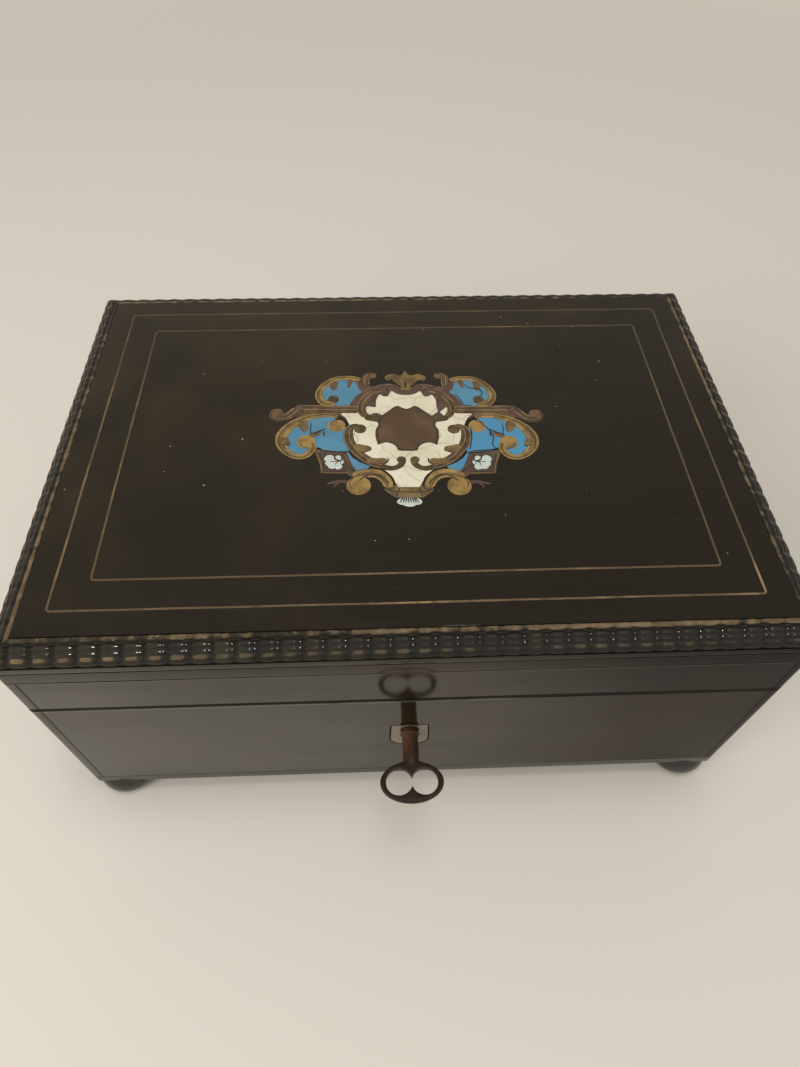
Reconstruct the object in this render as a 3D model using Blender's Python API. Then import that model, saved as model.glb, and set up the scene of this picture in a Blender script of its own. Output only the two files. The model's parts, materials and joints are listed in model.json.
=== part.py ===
"""Inlaid box: an ebonised case with a hinged lid, ripple mouldings, Boulle work, a lock and its key.

Metres.  X runs along the box, Y from its front to its back, Z up from the surface it stands on.
"""
import math

import bmesh
import bpy
from mathutils import Matrix, Vector
from mathutils.geometry import delaunay_2d_cdt, intersect_point_tri_2d

# Case
box_length = 0.300
box_depth = 0.2096
foot_height = 0.014
body_height = 0.126             # under side of the bottom board to the top of the lid
seam_height = 0.0821            # under side of the bottom board to the joint of lid and base
wall_thickness = 0.010
bottom_thickness = 0.0054
corner_radius = 0.0025
corner_steps = 6

# Clearances
fit_gap = 0.0003                # between pieces that seat on each other
inlay_gap = 0.00015             # around each inlay
seam_gap = 0.0006               # between the rims of lid and base
overrun = 0.002                 # how far a cutter reaches past what it cuts
merge_distance = 0.000001
smooth_angle_degrees = 40       # sharper edges stay sharp

# Lid top
panel_inset = 0.0075            # face of the case to the edge of the top board
board_thickness = 0.008
veneer_thickness = 0.0009

# Ripple moulding
ripple_pitch = 0.00785
ripple_amplitude = 0.0007
ripple_overhang = 0.0005
ripple_samples = 3              # points of each wave: one in the trough, two on the broad crest
# Profile: share of the width out, share of the height up, share of the ripple
ripple_profile_shares = (
    (0.0, 0.0, 0.0), (0.0, 0.96, 0.0), (0.24, 0.96, 0.0), (0.66, 0.86, 0.8), (1.0, 0.46, 1.0),
    (0.9, 0.0, 0.8),
)

# Brass lines in the top
line_width = 0.0009
outer_line_inset = 0.0187       # face of the case to the middle of the line
inner_line_inset = 0.0317

# Bun feet
foot_radius = 0.0145
foot_inset = 0.0116             # face of the case to the foot's axis
foot_steps = 16
foot_tenon_radius = 0.003
foot_tenon_length_share = 0.74   # of the bottom board's thickness
# Profile: share of the radius, share of the height
foot_profile_shares = (
    (0.60, 0.0), (0.86, 0.08), (0.98, 0.30), (1.0, 0.48), (0.92, 0.70), (0.66, 0.86), (0.64, 1.0),
)

# Linings: silk on card
lining_thickness = 0.0016
lining_drop = 0.0018            # rim of the case to the edge of the lining
pad_thickness = 0.005
pad_crown = 0.0018
pad_inset_share = 1.6           # how far in the pad's flat face starts, in pad thicknesses
pad_edge_share = 0.35
pad_corner_steps = 2

# Hinges
hinge_spacing_share = 0.6       # of the case's length
hinge_width = 0.032
hinge_inset = 0.0032            # back face to the hinge axis
leaf_margin = 0.0004            # front edge of a leaf to the inner face of the wall
leaf_thickness = 0.0012
leaf_clearance = 0.0002         # seam plane to the face of a leaf
knuckle_radius = 0.0020
knuckle_count = 3
knuckle_steps = 12
hinge_pin_radius = 0.0009
lid_opening_degrees = 98.0
stop_margin_degrees = 1.5       # spare turn between the bevelled back edges when the lid is open
hinge_screw_spacing_share = 0.625   # of the hinge's width

# Wood screws
screw_head_radius = 0.0016
screw_head_height = 0.0010
screw_shank_radius = 0.0008
screw_length = 0.0070
screw_head_rise = 0.0001        # head above the leaf or plate
screw_steps = 8

# Key.  Depths are measured from the front face of the case, into the case
key_drop = 0.030                # joint of lid and base to the key's axis
key_barrel_radius = 0.00325
key_collar_radius = 0.00415
key_collar_out = 0.0031         # front face to the collar
key_collar_width = 0.0017
key_neck_radius = 0.0026
key_bore_radius = 0.0016
key_bore_length = 0.0050
key_steps = 16
bow_out = 0.0140                # front face to the bow's near edge
bow_reach = 0.0308              # front face to the bow's far edge
bow_width = 0.0257
bow_rim = 0.0022
bow_thickness = 0.0030
bow_waist = 0.0024
bow_round_share = 0.22          # rounded part of the rim, from each edge
bow_steps = 32
bit_radius = 0.0090
bit_thickness = 0.0018
bit_clearance = 0.0006          # each end of the bit to the lock's case and plate

# Escutcheon
escutcheon_width = 0.0165
escutcheon_height = 0.0220
escutcheon_rise = 0.0055        # key axis to the plate's top edge
escutcheon_thickness = 0.0010
escutcheon_flare_share = 1.05   # width at the lower end
escutcheon_round_share = 0.8    # height of the rounded end, in half widths
escutcheon_steps = 10

# Lock
mortise_front_depth = 0.0023
case_wall = 0.0008
case_rim = 0.0010
case_half_width = 0.0185
bit_sweep_clearance = 0.0020    # tip of the bit to the case's lower rim
plate_thickness = 0.0012
plate_wing = 0.0055             # plate beyond the case, at each side
plate_lap = 0.0020              # plate below the case
selvedge_sink = 0.0003          # rim of the wall to the selvedge
drill_pin_length = 0.0039
bolt_low = 0.0075               # heights above the key's axis
bolt_high = 0.0140
bolt_left = 0.0140
bolt_throw = 0.0070
bolt_end_clearance = 0.0015     # bolt shot: its right end to the case
bolt_riser_width = 0.0050
nose_drop = 0.0060              # joint of lid and base to the top of the bolt's nose
nose_height = 0.0035
nose_clearance = 0.0004         # each side of the nose in the staple's eye
nose_tip_clearance = 0.0013     # bolt drawn back: its tip to the staple
talon_left = 0.0088
talon_right = 0.0018
talon_clearance = 0.0007        # tip of the bit to the top of the talon notch
bolt_guide_thickness = 0.0010
bolt_guide_start = 0.0095       # key axis to the inner end of the lower guides
bolt_cover_start = 0.0015       # key axis to the inner end of the upper guide

# Link plate and staple in the lid
link_half_length = 0.0140
link_lap = 0.0009               # plate beyond the staple, front and back
link_thickness = 0.0012
link_screw_inset = 0.0040       # end of the plate to a screw
staple_thickness = 0.0020
staple_front_clearance = 0.0007
staple_back_clearance = 0.0006
staple_rim = 0.0005             # metal before and behind the eye
staple_foot = 0.0012            # metal under the eye
staple_slot_clearance = 0.0005
staple_slot_side_clearance = 0.0007

# Cartouche, drawn on squares: its length is cartouche_squares of them
cartouche_length = 0.122
cartouche_squares = 122
cartouche_offset = 0.0015
cartouche_turn_degrees = -1.6
cartouche_steps = 2
disc_steps = 12
cap_steps = 6
outline_tolerance_share = 0.4   # bends smaller than this share of the inlay gap are left out
sharpest_lean_share = 0.5       # how far a grown outline's corner may reach out
# Brass bands of one half, as shares of a square: across from the middle, up, width
brass_band_shares = (
    ((0, 28.3, 2.6), (6, 29.3, 2.8), (12, 27.8, 4.6), (16.6, 23, 6), (19.2, 17, 5), (18.4, 11.8, 3.6),
     (14.2, 9.4, 3.0), (10.5, 10.6, 3.0)),
    ((20.5, 30, 3.2), (20, 35, 3.0), (17.5, 38.2, 3.4), (14.5, 37.6, 3.8)),
    ((21, 35.4, 3.0), (28, 37, 3.4), (34.5, 35, 3.6), (39.6, 30.5, 3.8), (40.3, 24.5, 3.8),
     (37.8, 19.5, 3.8), (33.8, 18.4, 5.0)),
    ((33, 35, 3.0), (32.6, 30.5, 2.6), (32.2, 27.8, 1.6)),
    ((20.5, 31, 3.0), (19.6, 26, 2.6), (20, 20, 3.0)),
    ((19, 15.8, 3.6), (32, 15.8, 3.4), (46, 16, 3.4)),
    ((46, 15.8, 3.4), (49.5, 13.3, 3.4), (52.5, 9.8, 3.2), (56, 8.6, 3.6), (58.8, 11.0, 4.4)),
    ((27.8, 7.5, 3.0), (29.5, 11.3, 2.4), (36, 12.6, 2.6), (44, 11.3, 3.6), (51.5, 7, 4.2),
     (55.6, 0.5, 4.6), (55.9, -6, 4.6), (52.6, -12, 4.4), (46.5, -15, 3.8), (41, -13.2, 3.4),
     (38.9, -9, 3.4)),
    ((47, 9.5, 5.0), (46.3, 5, 4.4), (45, 2.2, 2.2)),
    ((20, 5, 2.0), (23, 5.4, 2.6), (26, 2.4, 3.0), (26.8, -3, 3.8), (24.8, -9.5, 4.0),
     (20.5, -15.5, 4.2), (14, -19.5, 4.2), (7.5, -20.8, 3.4), (3.7, -19, 2.8)),
    ((23.5, -5, 3.5), (18.5, -8.5, 3.0), (15, -9.4, 2.2)),
    ((15, -17.6, 4.0), (11, -16.6, 2.8), (9, -16.2, 1.8)),
    ((38.5, -10.6, 2.2), (28.2, -11.8, 2.0), (22.6, -23.2, 2.0)),
    ((38.4, -10.6, 2.0), (37.2, -23.2, 2.0), (22.8, -24, 2.0)),
    ((24.3, -27, 2.6), (20.5, -23.6, 3.2), (14.5, -23, 3.4), (10.3, -27, 3.4), (8.6, -32, 3.6)),
    ((24, -28, 1.4), (29.5, -28.2, 1.2), (33.5, -29.4, 0.9)),
)
# Brass discs that end the scrolls: across, up, radius
brass_disc_shares = (
    (13.2, 10.4, 2.0), (14.5, 37.6, 2.2), (33.6, 20.4, 2.9), (58.6, 11.6, 2.8), (30.7, 5, 4.0),
    (43.0, -5.4, 4.4), (20.4, 2.8, 2.6), (4.1, -16.4, 2.0), (20.5, -30.3, 4.8),
)
finial_shares = (
    (0, 27.5), (3.2, 28), (3.4, 31), (5.6, 34), (9, 35.2), (9.8, 37.5), (7.5, 38.6), (5, 36.8),
    (1.8, 38.5), (0, 41.6),
)
keystone_shares = ((0, -36), (5, -36), (9, -35), (11, -32.6), (7, -31.2), (0, -31.2))
ivory_shares = (
    (0, -31.6), (8, -31.6), (9.4, -28), (11.6, -24), (12, -20.5), (14, -19.5), (20.5, -15.5),
    (24.8, -9.5), (26.8, -3), (26, 2.4), (26.8, 6), (28.4, 10.6), (30.5, 13.4), (29.4, 14.6),
    (19, 15.5), (16.6, 23), (12, 27.6), (7, 28.4), (0, 27.4),
)
medallion_shares = (
    (0, -10.2), (4.4, -10), (6, -7), (9, -5.8), (11.6, -7.2), (12.4, -5.6), (11.9, -2), (12.8, 1.6),
    (11.9, 5), (10.8, 9.2), (8.6, 12.4), (5.8, 14.8), (2.6, 16.6), (0, 15.6),
)
upper_blue_shares = (
    (20, 32), (23, 35), (28, 36.6), (34.5, 34.8), (39.4, 30.3), (40, 24.5), (37.6, 19.6), (34, 17.4),
    (25, 17), (21, 20), (19.6, 26),
)
lower_blue_shares = (
    (28.5, 11), (36, 12.4), (44, 11.1), (51.4, 6.8), (55.4, 0.5), (55.7, -6), (52.4, -11.9),
    (46.4, -14.8), (41, -13), (38.6, -10.4), (28.2, -11.6), (22.5, -23), (17.4, -20), (20.6, -15.4),
    (24.8, -9.4), (26.8, -3), (26.6, 2), (27.6, 7),
)
flower_shares = (
    (28.8, -16.4), (29.6, -19), (32.4, -20.4), (35, -19.2), (35.8, -16.4), (34.2, -14.2),
    (31.6, -13.6), (29.6, -14.2),
)
shell_shares = ((0, -41.2), (2.0, -41.0), (3.8, -40.2), (5.4, -38.8), (5.0, -37.4), (0, -36.8))
# A place inside each field, by which it is found
upper_blue_seed_share = (26.0, 27.0)
lower_blue_seed_share = (33.0, -3.0)
brass_seed_share = (0.0, 33.0)
ivory_seed_share = (0.0, -26.0)
crest_seed_share = (0.0, 22.0)
medallion_seed_share = (0.0, 2.0)
shell_seed_share = (0.0, -39.0)
flower_seed_share = (32.4, -17.0)

# Heights above the floor
bottom_low = foot_height
bottom_high = bottom_low + bottom_thickness
seam = foot_height + seam_height
top = foot_height + body_height
wall_low = bottom_high + fit_gap
wall_high = seam - seam_gap / 2
rail_low = seam + seam_gap / 2
board_low = top - board_thickness
rail_high = board_low - fit_gap
key_height = seam - key_drop
foot_tenon_length = bottom_thickness * foot_tenon_length_share

# Half sizes in plan
half_length = box_length / 2
half_depth = box_depth / 2
inner_half_length = half_length - wall_thickness
inner_half_depth = half_depth - wall_thickness
board_half_length = half_length - panel_inset
board_half_depth = half_depth - panel_inset
hinge_y = half_depth - hinge_inset
hinge_spacing = box_length * hinge_spacing_share
hinge_reach = wall_thickness - hinge_inset - leaf_margin
hinge_screw_reach = (knuckle_radius + fit_gap + hinge_reach) / 2
hinge_screw_spacing = hinge_width * hinge_screw_spacing_share

# Lock and key, from the front face into the case
case_front_depth = mortise_front_depth + fit_gap
case_room_depth = case_front_depth + case_wall
plate_front_depth = wall_thickness - fit_gap - plate_thickness
plate_back_depth = plate_front_depth + plate_thickness
plate_half_width = case_half_width + plate_wing
plate_screw_out = (case_half_width + fit_gap + plate_half_width) / 2
case_drop = bit_radius + bit_sweep_clearance + case_rim
key_inner_depth = plate_front_depth - fit_gap
bit_front_depth = case_room_depth + bit_clearance
bit_back_depth = plate_front_depth - bit_clearance
staple_front_depth = case_room_depth + staple_front_clearance
staple_back_depth = plate_front_depth - staple_back_clearance
eye_front_depth = staple_front_depth + staple_rim
eye_back_depth = staple_back_depth - staple_rim
link_front_depth = staple_front_depth - link_lap
link_back_depth = staple_back_depth + link_lap

# Finishes: colour, roughness, metallic
finishes = {
    "ebonised": ((0.018, 0.016, 0.014), 0.28, 0.0),
    "silk": ((0.30, 0.04, 0.06), 0.55, 0.0),
    "brass": ((0.42, 0.30, 0.13), 0.38, 1.0),
    "old_brass": ((0.24, 0.17, 0.08), 0.45, 1.0),
    "ivory": ((0.82, 0.78, 0.64), 0.35, 0.0),
    "blue": ((0.05, 0.27, 0.55), 0.35, 0.0),
    "pearl": ((0.62, 0.70, 0.66), 0.22, 0.1),
    "horn": ((0.11, 0.065, 0.035), 0.35, 0.0),
    "iron": ((0.10, 0.065, 0.04), 0.50, 0.9),
}


def clear_scene():
    for thing in list(bpy.data.objects):
        bpy.data.objects.remove(thing, do_unlink=True)


def carrier(name, x, y, z, parent=None):
    """An empty that carries one body; the empty of a moving body lies on its joint's axis."""
    empty = bpy.data.objects.new(name, None)
    empty.empty_display_size = foot_radius
    bpy.context.collection.objects.link(empty)
    empty["place"] = (x, y, z)
    offset = Vector((x, y, z))
    if parent:
        empty.parent = parent
        offset = offset - Vector(parent["place"])
    empty.location = offset
    return empty


def finish_material(name, finish):
    colour, roughness, metallic = finishes[finish]
    material = bpy.data.materials.new(name + "_finish")
    material.use_nodes = True
    shader = material.node_tree.nodes["Principled BSDF"]
    shader.inputs["Base Color"].default_value = (*colour, 1)
    shader.inputs["Roughness"].default_value = roughness
    shader.inputs["Metallic"].default_value = metallic
    material.diffuse_color = (*colour, 1)
    return material


def add_piece(name, shape, finish, body, smooth=False):
    """Turn a shape drawn in the case's coordinates into an object carried by a body's empty."""
    bmesh.ops.recalc_face_normals(shape, faces=shape.faces)
    bmesh.ops.translate(shape, verts=shape.verts, vec=-Vector(body["place"]))
    mesh = bpy.data.meshes.new(name)
    shape.to_mesh(mesh)
    shape.free()
    if smooth:
        mesh.shade_smooth()
        mesh.set_sharp_from_angle(angle=math.radians(smooth_angle_degrees))
    if finish:
        mesh.materials.append(finish_material(name, finish))
    piece = bpy.data.objects.new(name, mesh)
    bpy.context.collection.objects.link(piece)
    piece.parent = body
    return piece


def change(piece, shape, name, operation, body):
    """Join a shape to a piece, or cut it out, by a Boolean with a hidden guide."""
    guide = add_piece(name, shape, None, body)
    guide.hide_render = True
    guide.display_type = "WIRE"
    modifier = piece.modifiers.new(name, "BOOLEAN")
    modifier.operation = operation
    modifier.solver = "EXACT"
    modifier.object = guide


def cut(piece, shape, name, body):
    change(piece, shape, piece.name + "_" + name, "DIFFERENCE", body)


def join(piece, shape, name, body):
    change(piece, shape, piece.name + "_" + name, "UNION", body)


def prism(outline, low, high):
    """An outline in plan, raised from low to high."""
    shape = bmesh.new()
    ring = [shape.verts.new((x, y, low)) for x, y in outline]
    base = shape.faces.new(ring)
    raised = bmesh.ops.extrude_face_region(shape, geom=[base], use_keep_orig=True)
    lifted = [part for part in raised["geom"] if isinstance(part, bmesh.types.BMVert)]
    bmesh.ops.translate(shape, verts=lifted, vec=(0, 0, high - low))
    return shape


def upright(outline, front, back):
    """An outline of (x, z) points, run from front to back."""
    shape = prism(outline, -back, -front)
    bmesh.ops.rotate(shape, verts=shape.verts, matrix=Matrix.Rotation(math.radians(90), 3, "X"))
    return shape


def lengthwise(outline, left, right):
    """An outline of (y, z) points, run from left to right."""
    shape = prism(outline, left, right)
    turn = Matrix(((0, 0, 1), (1, 0, 0), (0, 1, 0)))
    bmesh.ops.transform(shape, verts=shape.verts, matrix=turn.to_4x4())
    return shape


def block(low, high):
    """A box between two corners."""
    outline = ((low[0], low[1]), (high[0], low[1]), (high[0], high[1]), (low[0], high[1]))
    return prism(outline, low[2], high[2])


def turned(profile, steps):
    """A solid of revolution about Z, from (radius, height) points that start and end on the axis."""
    shape = bmesh.new()
    points = [shape.verts.new((radius, 0, height)) for radius, height in profile]
    edges = [shape.edges.new(pair) for pair in zip(points, points[1:])]
    bmesh.ops.spin(
        shape, geom=points + edges, cent=(0, 0, 0), axis=(0, 0, 1), angle=math.tau,
        steps=steps, use_merge=True,
    )
    bmesh.ops.remove_doubles(shape, verts=shape.verts, dist=merge_distance)
    return shape


def rod(radius, low, high, steps):
    return turned(((0, low), (radius, low), (radius, high), (0, high)), steps)


def turn_shape(shape, degrees, axis):
    matrix = Matrix.Rotation(math.radians(degrees), 3, axis)
    bmesh.ops.rotate(shape, verts=shape.verts, matrix=matrix)
    return shape


def move_shape(shape, x, y, z):
    bmesh.ops.translate(shape, verts=shape.verts, vec=(x, y, z))
    return shape


def depth(value):
    """The Y of a place that lies so far behind the front face."""
    return -half_depth + value


def rounded_rectangle(half_x, half_y, radius, steps):
    """A rectangle in plan with round corners, anticlockwise from the front right one."""
    points = []
    for quarter, (side_x, side_y) in enumerate(((1, -1), (1, 1), (-1, 1), (-1, -1))):
        for step in range(steps + 1):
            angle = math.radians(90) * (quarter - 1 + step / steps)
            points.append((
                side_x * (half_x - radius) + radius * math.cos(angle),
                side_y * (half_y - radius) + radius * math.sin(angle),
            ))
    return points


def slice_off(shape, point, normal):
    """Plane away everything on the normal's side of a plane, and close the cut."""
    geometry = shape.verts[:] + shape.edges[:] + shape.faces[:]
    made = bmesh.ops.bisect_plane(
        shape, geom=geometry, dist=merge_distance, plane_co=point, plane_no=normal, clear_outer=True,
    )
    edges = [part for part in made["geom_cut"] if isinstance(part, bmesh.types.BMEdge)]
    bmesh.ops.contextual_create(shape, geom=edges)
    return shape


def cut_mitres(shape, half_x, half_y):
    """Cut both ends of a piece on the front side at 45 degrees through the corners given."""
    clearance = fit_gap / math.sqrt(2)
    slice_off(shape, (half_x - clearance, -half_y, 0), (1, 1, 0))
    slice_off(shape, (clearance - half_x, -half_y, 0), (-1, 1, 0))
    return shape


# The four sides of a frame, a quarter turn apart: name, whether it runs along the box
sides = (("front", True), ("right", False), ("back", True), ("left", False))


def side_of_case(along, turns, low, high):
    """One mitred board of the case, with its half of each round corner."""
    length, width = (half_length, half_depth) if along else (half_depth, half_length)
    ring = rounded_rectangle(length, width, corner_radius, corner_steps)
    outer = ring[-corner_steps - 1:] + ring[:corner_steps + 1]
    inner = [(length - wall_thickness, wall_thickness - width),
             (wall_thickness - length, wall_thickness - width)]
    shape = prism(outer + inner, low, high)
    cut_mitres(shape, length, width)
    return turn_shape(shape, 90 * turns, "Z")


def bevel_angle():
    return math.radians((lid_opening_degrees + stop_margin_degrees * 2) / 2)


def bevel_back_edge(shape, height, upward):
    """Bevel the back edge at the seam, so that the lid stops when the two bevels meet."""
    normal = (0, math.sin(bevel_angle()), upward * math.cos(bevel_angle()))
    return slice_off(shape, (0, hinge_y, height), normal)


def make_bottom(base):
    ring = rounded_rectangle(half_length, half_depth, corner_radius, corner_steps)
    bottom = add_piece("bottom_board", prism(ring, bottom_low, bottom_high), "ebonised", base)
    for name, x, y in foot_places():
        hole = rod(foot_tenon_radius + fit_gap * 2, bottom_low - overrun,
                   bottom_low + foot_tenon_length + fit_gap, screw_steps)
        cut(bottom, move_shape(hole, x, y, 0), name + "_hole", base)


def foot_places():
    x = half_length - foot_inset
    y = half_depth - foot_inset
    return (("front_right_foot", x, -y), ("front_left_foot", -x, -y),
            ("back_right_foot", x, y), ("back_left_foot", -x, y))


def make_feet(base):
    body = foot_height - fit_gap
    profile = [(0, 0)]
    profile += [(radius * foot_radius, up * body) for radius, up in foot_profile_shares]
    profile += [(foot_tenon_radius, body), (foot_tenon_radius, body + foot_tenon_length)]
    profile += [(0, body + foot_tenon_length)]
    for name, x, y in foot_places():
        foot = move_shape(turned(profile, foot_steps), x, y, 0)
        add_piece(name, foot, "ebonised", base, smooth=True)


def make_walls(base):
    walls = {}
    for turns, (name, along) in enumerate(sides):
        shape = side_of_case(along, turns, wall_low, wall_high)
        if name != "front":
            bevel_back_edge(shape, wall_high, 1)
        walls[name] = add_piece(name + "_wall", shape, "ebonised", base)
    return walls


def make_rails(lid):
    rails = {}
    for turns, (name, along) in enumerate(sides):
        shape = side_of_case(along, turns, rail_low, rail_high)
        if name != "front":
            bevel_back_edge(shape, rail_low, -1)
        rails[name] = add_piece(name + "_lid_rail", shape, "ebonised", lid)
    return rails


def ripple_length(length, width):
    """A straight length of ripple moulding for the front side, cut to its mitres."""
    low = rail_high + fit_gap
    reach = half_length - board_half_length + ripple_overhang - fit_gap
    middle = reach - ripple_amplitude
    waves = math.ceil((length + reach) / ripple_pitch)
    shape = bmesh.new()
    rings = []
    for step in range(-waves * ripple_samples, waves * ripple_samples + 1):
        swing = -ripple_amplitude / middle * math.cos(math.tau * step / ripple_samples)
        ring = []
        for out, up, ripple in ripple_profile_shares:
            swell = 1 + swing * ripple
            ring.append(shape.verts.new((
                step * ripple_pitch / ripple_samples,
                -width - fit_gap - out * middle * swell,
                low + up * board_thickness * swell,
            )))
        rings.append(ring)
    for near, far in zip(rings, rings[1:]):
        for index in range(len(near)):
            shape.faces.new((near[index - 1], near[index], far[index], far[index - 1]))
    shape.faces.new(rings[0])
    shape.faces.new(rings[-1])
    bmesh.ops.recalc_face_normals(shape, faces=shape.faces)
    return cut_mitres(shape, length + fit_gap, width + fit_gap)


def make_mouldings(lid):
    for turns, (name, along) in enumerate(sides):
        plan = (board_half_length, board_half_depth)
        length, width = plan if along else (plan[1], plan[0])
        shape = turn_shape(ripple_length(length, width), 90 * turns, "Z")
        add_piece(name + "_ripple_moulding", shape, "ebonised", lid)


def rectangle_frame(length, width, breadth, low, high):
    """A rectangular ring of square section, centred on its line."""
    shape = bmesh.new()
    corners = ((1, -1), (1, 1), (-1, 1), (-1, -1))
    loops = []
    for grow in (breadth / 2, -breadth / 2):
        for height in (low, high):
            loops.append([shape.verts.new((x * (length / 2 + grow), y * (width / 2 + grow), height))
                          for x, y in corners])
    outer_low, outer_high, inner_low, inner_high = loops
    for first, second in ((outer_low, outer_high), (outer_high, inner_high),
                          (inner_high, inner_low), (inner_low, outer_low)):
        for index in range(len(corners)):
            shape.faces.new((first[index - 1], first[index], second[index], second[index - 1]))
    return shape


def make_lines(board, lid):
    """Two brass lines let into grooves of the top board."""
    low = top - veneer_thickness
    for name, inset in (("outer_brass_line", outer_line_inset), ("inner_brass_line", inner_line_inset)):
        length = box_length - inset * 2
        width = box_depth - inset * 2
        groove = rectangle_frame(length, width, line_width + inlay_gap * 2, low - inlay_gap,
                                 top + overrun)
        cut(board, groove, name + "_groove", lid)
        add_piece(name, rectangle_frame(length, width, line_width, low, top), "brass", lid)


def smooth_path(points, steps):
    """Points of a Catmull-Rom curve through the given ones, each with its third value, the width."""
    path = []
    ends = [points[0]] + list(points) + [points[-1]]
    for before, start, end, after in zip(ends, ends[1:], ends[2:], ends[3:]):
        for step in range(steps):
            t = step / steps
            path.append([
                0.5 * (2 * b + (c - a) * t + (2 * a - 5 * b + 4 * c - d) * t * t
                       + (3 * b - a - 3 * c + d) * t * t * t)
                for a, b, c, d in zip(before, start, end, after)
            ])
    path.append(list(points[-1]))
    return path


def disc(x, y, radius, steps):
    """A round outline in plan."""
    return [(x + radius * math.cos(math.tau * step / steps), y + radius * math.sin(math.tau * step / steps))
            for step in range(steps)]


def band(points, grow):
    """A band of varying width as a row of four-sided outlines with round ends."""
    path = smooth_path(points, cartouche_steps)
    edges = []
    for index, (x, y, width) in enumerate(path):
        before = path[max(index - 1, 0)]
        after = path[min(index + 1, len(path) - 1)]
        along = Vector((after[0] - before[0], after[1] - before[1])).normalized()
        half = width / 2 + grow
        edges.append(((x - along.y * half, y + along.x * half), (x + along.y * half, y - along.x * half)))
    outlines = [[first[0], first[1], second[1], second[0]] for first, second in zip(edges, edges[1:])]
    for x, y, width in (path[0], path[-1]):
        outlines.append(disc(x, y, width / 2 + grow, cap_steps))
    return outlines


def anticlockwise(outline):
    """The same outline, turned round if it runs clockwise."""
    twice_area = sum(a[0] * b[1] - b[0] * a[1] for a, b in zip(outline, outline[1:] + outline[:1]))
    return outline if twice_area > 0 else outline[::-1]


def grown(outline, grow):
    """An anticlockwise outline moved outward by a distance."""
    count = len(outline)
    moved = []
    for index in range(count):
        here = Vector(outline[index])
        one = (here - Vector(outline[index - 1])).normalized()
        two = (Vector(outline[(index + 1) % count]) - here).normalized()
        middle = (Vector((one.y, -one.x)) + Vector((two.y, -two.x))).normalized()
        lean = max(middle.dot(Vector((one.y, -one.x))), sharpest_lean_share)
        moved.append(tuple(here + middle * (grow / lean)))
    return moved


def whole_outline(shares, square):
    """An anticlockwise outline from its right half, which starts and ends on the middle line."""
    right = [(x * square, y * square) for x, y in shares]
    left = [(-x, y) for x, y in reversed(right) if x > 0]
    return right + left


def both_sides(outlines):
    mirrored = [[(-x, y) for x, y in reversed(outline)] for outline in outlines]
    return outlines + mirrored


def brass_outlines(square, grow):
    outlines = []
    for shares in brass_band_shares:
        points = [(x * square, y * square, width * square) for x, y, width in shares]
        outlines += band(points, grow)
    for x, y, radius in brass_disc_shares:
        outlines.append(disc(x * square, y * square, radius * square + grow, disc_steps))
    outlines = both_sides(outlines)
    for shares in (finial_shares, keystone_shares):
        outlines.append(grown(whole_outline(shares, square), grow))
    return outlines


def cartouche_plan():
    """Split the cartouche into cells, each with the names of the outlines that cover it."""
    square = cartouche_length / cartouche_squares
    sided = {"blue": (upper_blue_shares, lower_blue_shares), "flower": (flower_shares,)}
    layers = {}
    for name, grow in (("", 0.0), ("_room", inlay_gap)):
        layers["brass" + name] = brass_outlines(square, grow)
        layers["ivory" + name] = [grown(whole_outline(ivory_shares, square), grow)]
        layers["medallion" + name] = [grown(whole_outline(medallion_shares, square), grow)]
        layers["shell" + name] = [grown(whole_outline(shell_shares, square), grow)]
        for field, tables in sided.items():
            outlines = [grown(anticlockwise([(x * square, y * square) for x, y in table]), grow)
                        for table in tables]
            layers[field + name] = both_sides(outlines)
    corners = []
    faces = []
    names = []
    for name, outlines in layers.items():
        for outline in outlines:
            faces.append(list(range(len(corners), len(corners) + len(outline))))
            corners += [Vector(point) for point in outline]
            names.append(name)
    points, edges, cells, old_points, old_edges, sources = delaunay_2d_cdt(
        corners, [], faces, 1, merge_distance)
    return points, [(cell, {names[source] for source in origin}) for cell, origin in zip(cells, sources)]


def join_up(points, cells, wanted, seed):
    """The cells that pass a test and hang together round a seed."""
    chosen = [cell for cell, names in cells if wanted(names)]
    neighbours = {}
    for index, cell in enumerate(chosen):
        for pair in zip(cell, cell[1:] + cell[:1]):
            neighbours.setdefault(frozenset(pair), []).append(index)
    start = next(index for index, cell in enumerate(chosen)
                 if intersect_point_tri_2d(Vector(seed), *(points[corner] for corner in cell)))
    found = {start}
    waiting = [start]
    while waiting:
        cell = chosen[waiting.pop()]
        for pair in zip(cell, cell[1:] + cell[:1]):
            for index in neighbours[frozenset(pair)]:
                if index not in found:
                    found.add(index)
                    waiting.append(index)
    return [chosen[index] for index in sorted(found)]


def rims(points, cells):
    """The closed rims round a group of anticlockwise cells, without the points that hardly bend."""
    sides = {pair for cell in cells for pair in zip(cell, cell[1:] + cell[:1])}
    onward = {start: end for start, end in sides if (end, start) not in sides}
    loops = []
    while onward:
        start, here = onward.popitem()
        loop = [start]
        while here != start:
            loop.append(here)
            here = onward.pop(here)
        loops.append(simplified([points[index] for index in loop]))
    return loops


def simplified(loop):
    """The loop without the points that lie closer than the tolerance to a straight run past them."""
    tolerance = inlay_gap * outline_tolerance_share
    kept = [loop[0]]
    passed = []
    for point in loop[1:] + loop[:1]:
        line = point - kept[-1]
        for old in passed:
            lean = old - kept[-1]
            if abs(line.x * lean.y - line.y * lean.x) > tolerance * line.length:
                kept.append(passed[-1])
                passed = []
                break
        passed.append(point)
    return kept


def is_inside(place, loops):
    inside = False
    for loop in loops:
        for one, two in zip(loop, loop[1:] + loop[:1]):
            if (one.y > place.y) != (two.y > place.y):
                crossing = one.x + (place.y - one.y) / (two.y - one.y) * (two.x - one.x)
                inside = inside != (crossing > place.x)
    return inside


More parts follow.
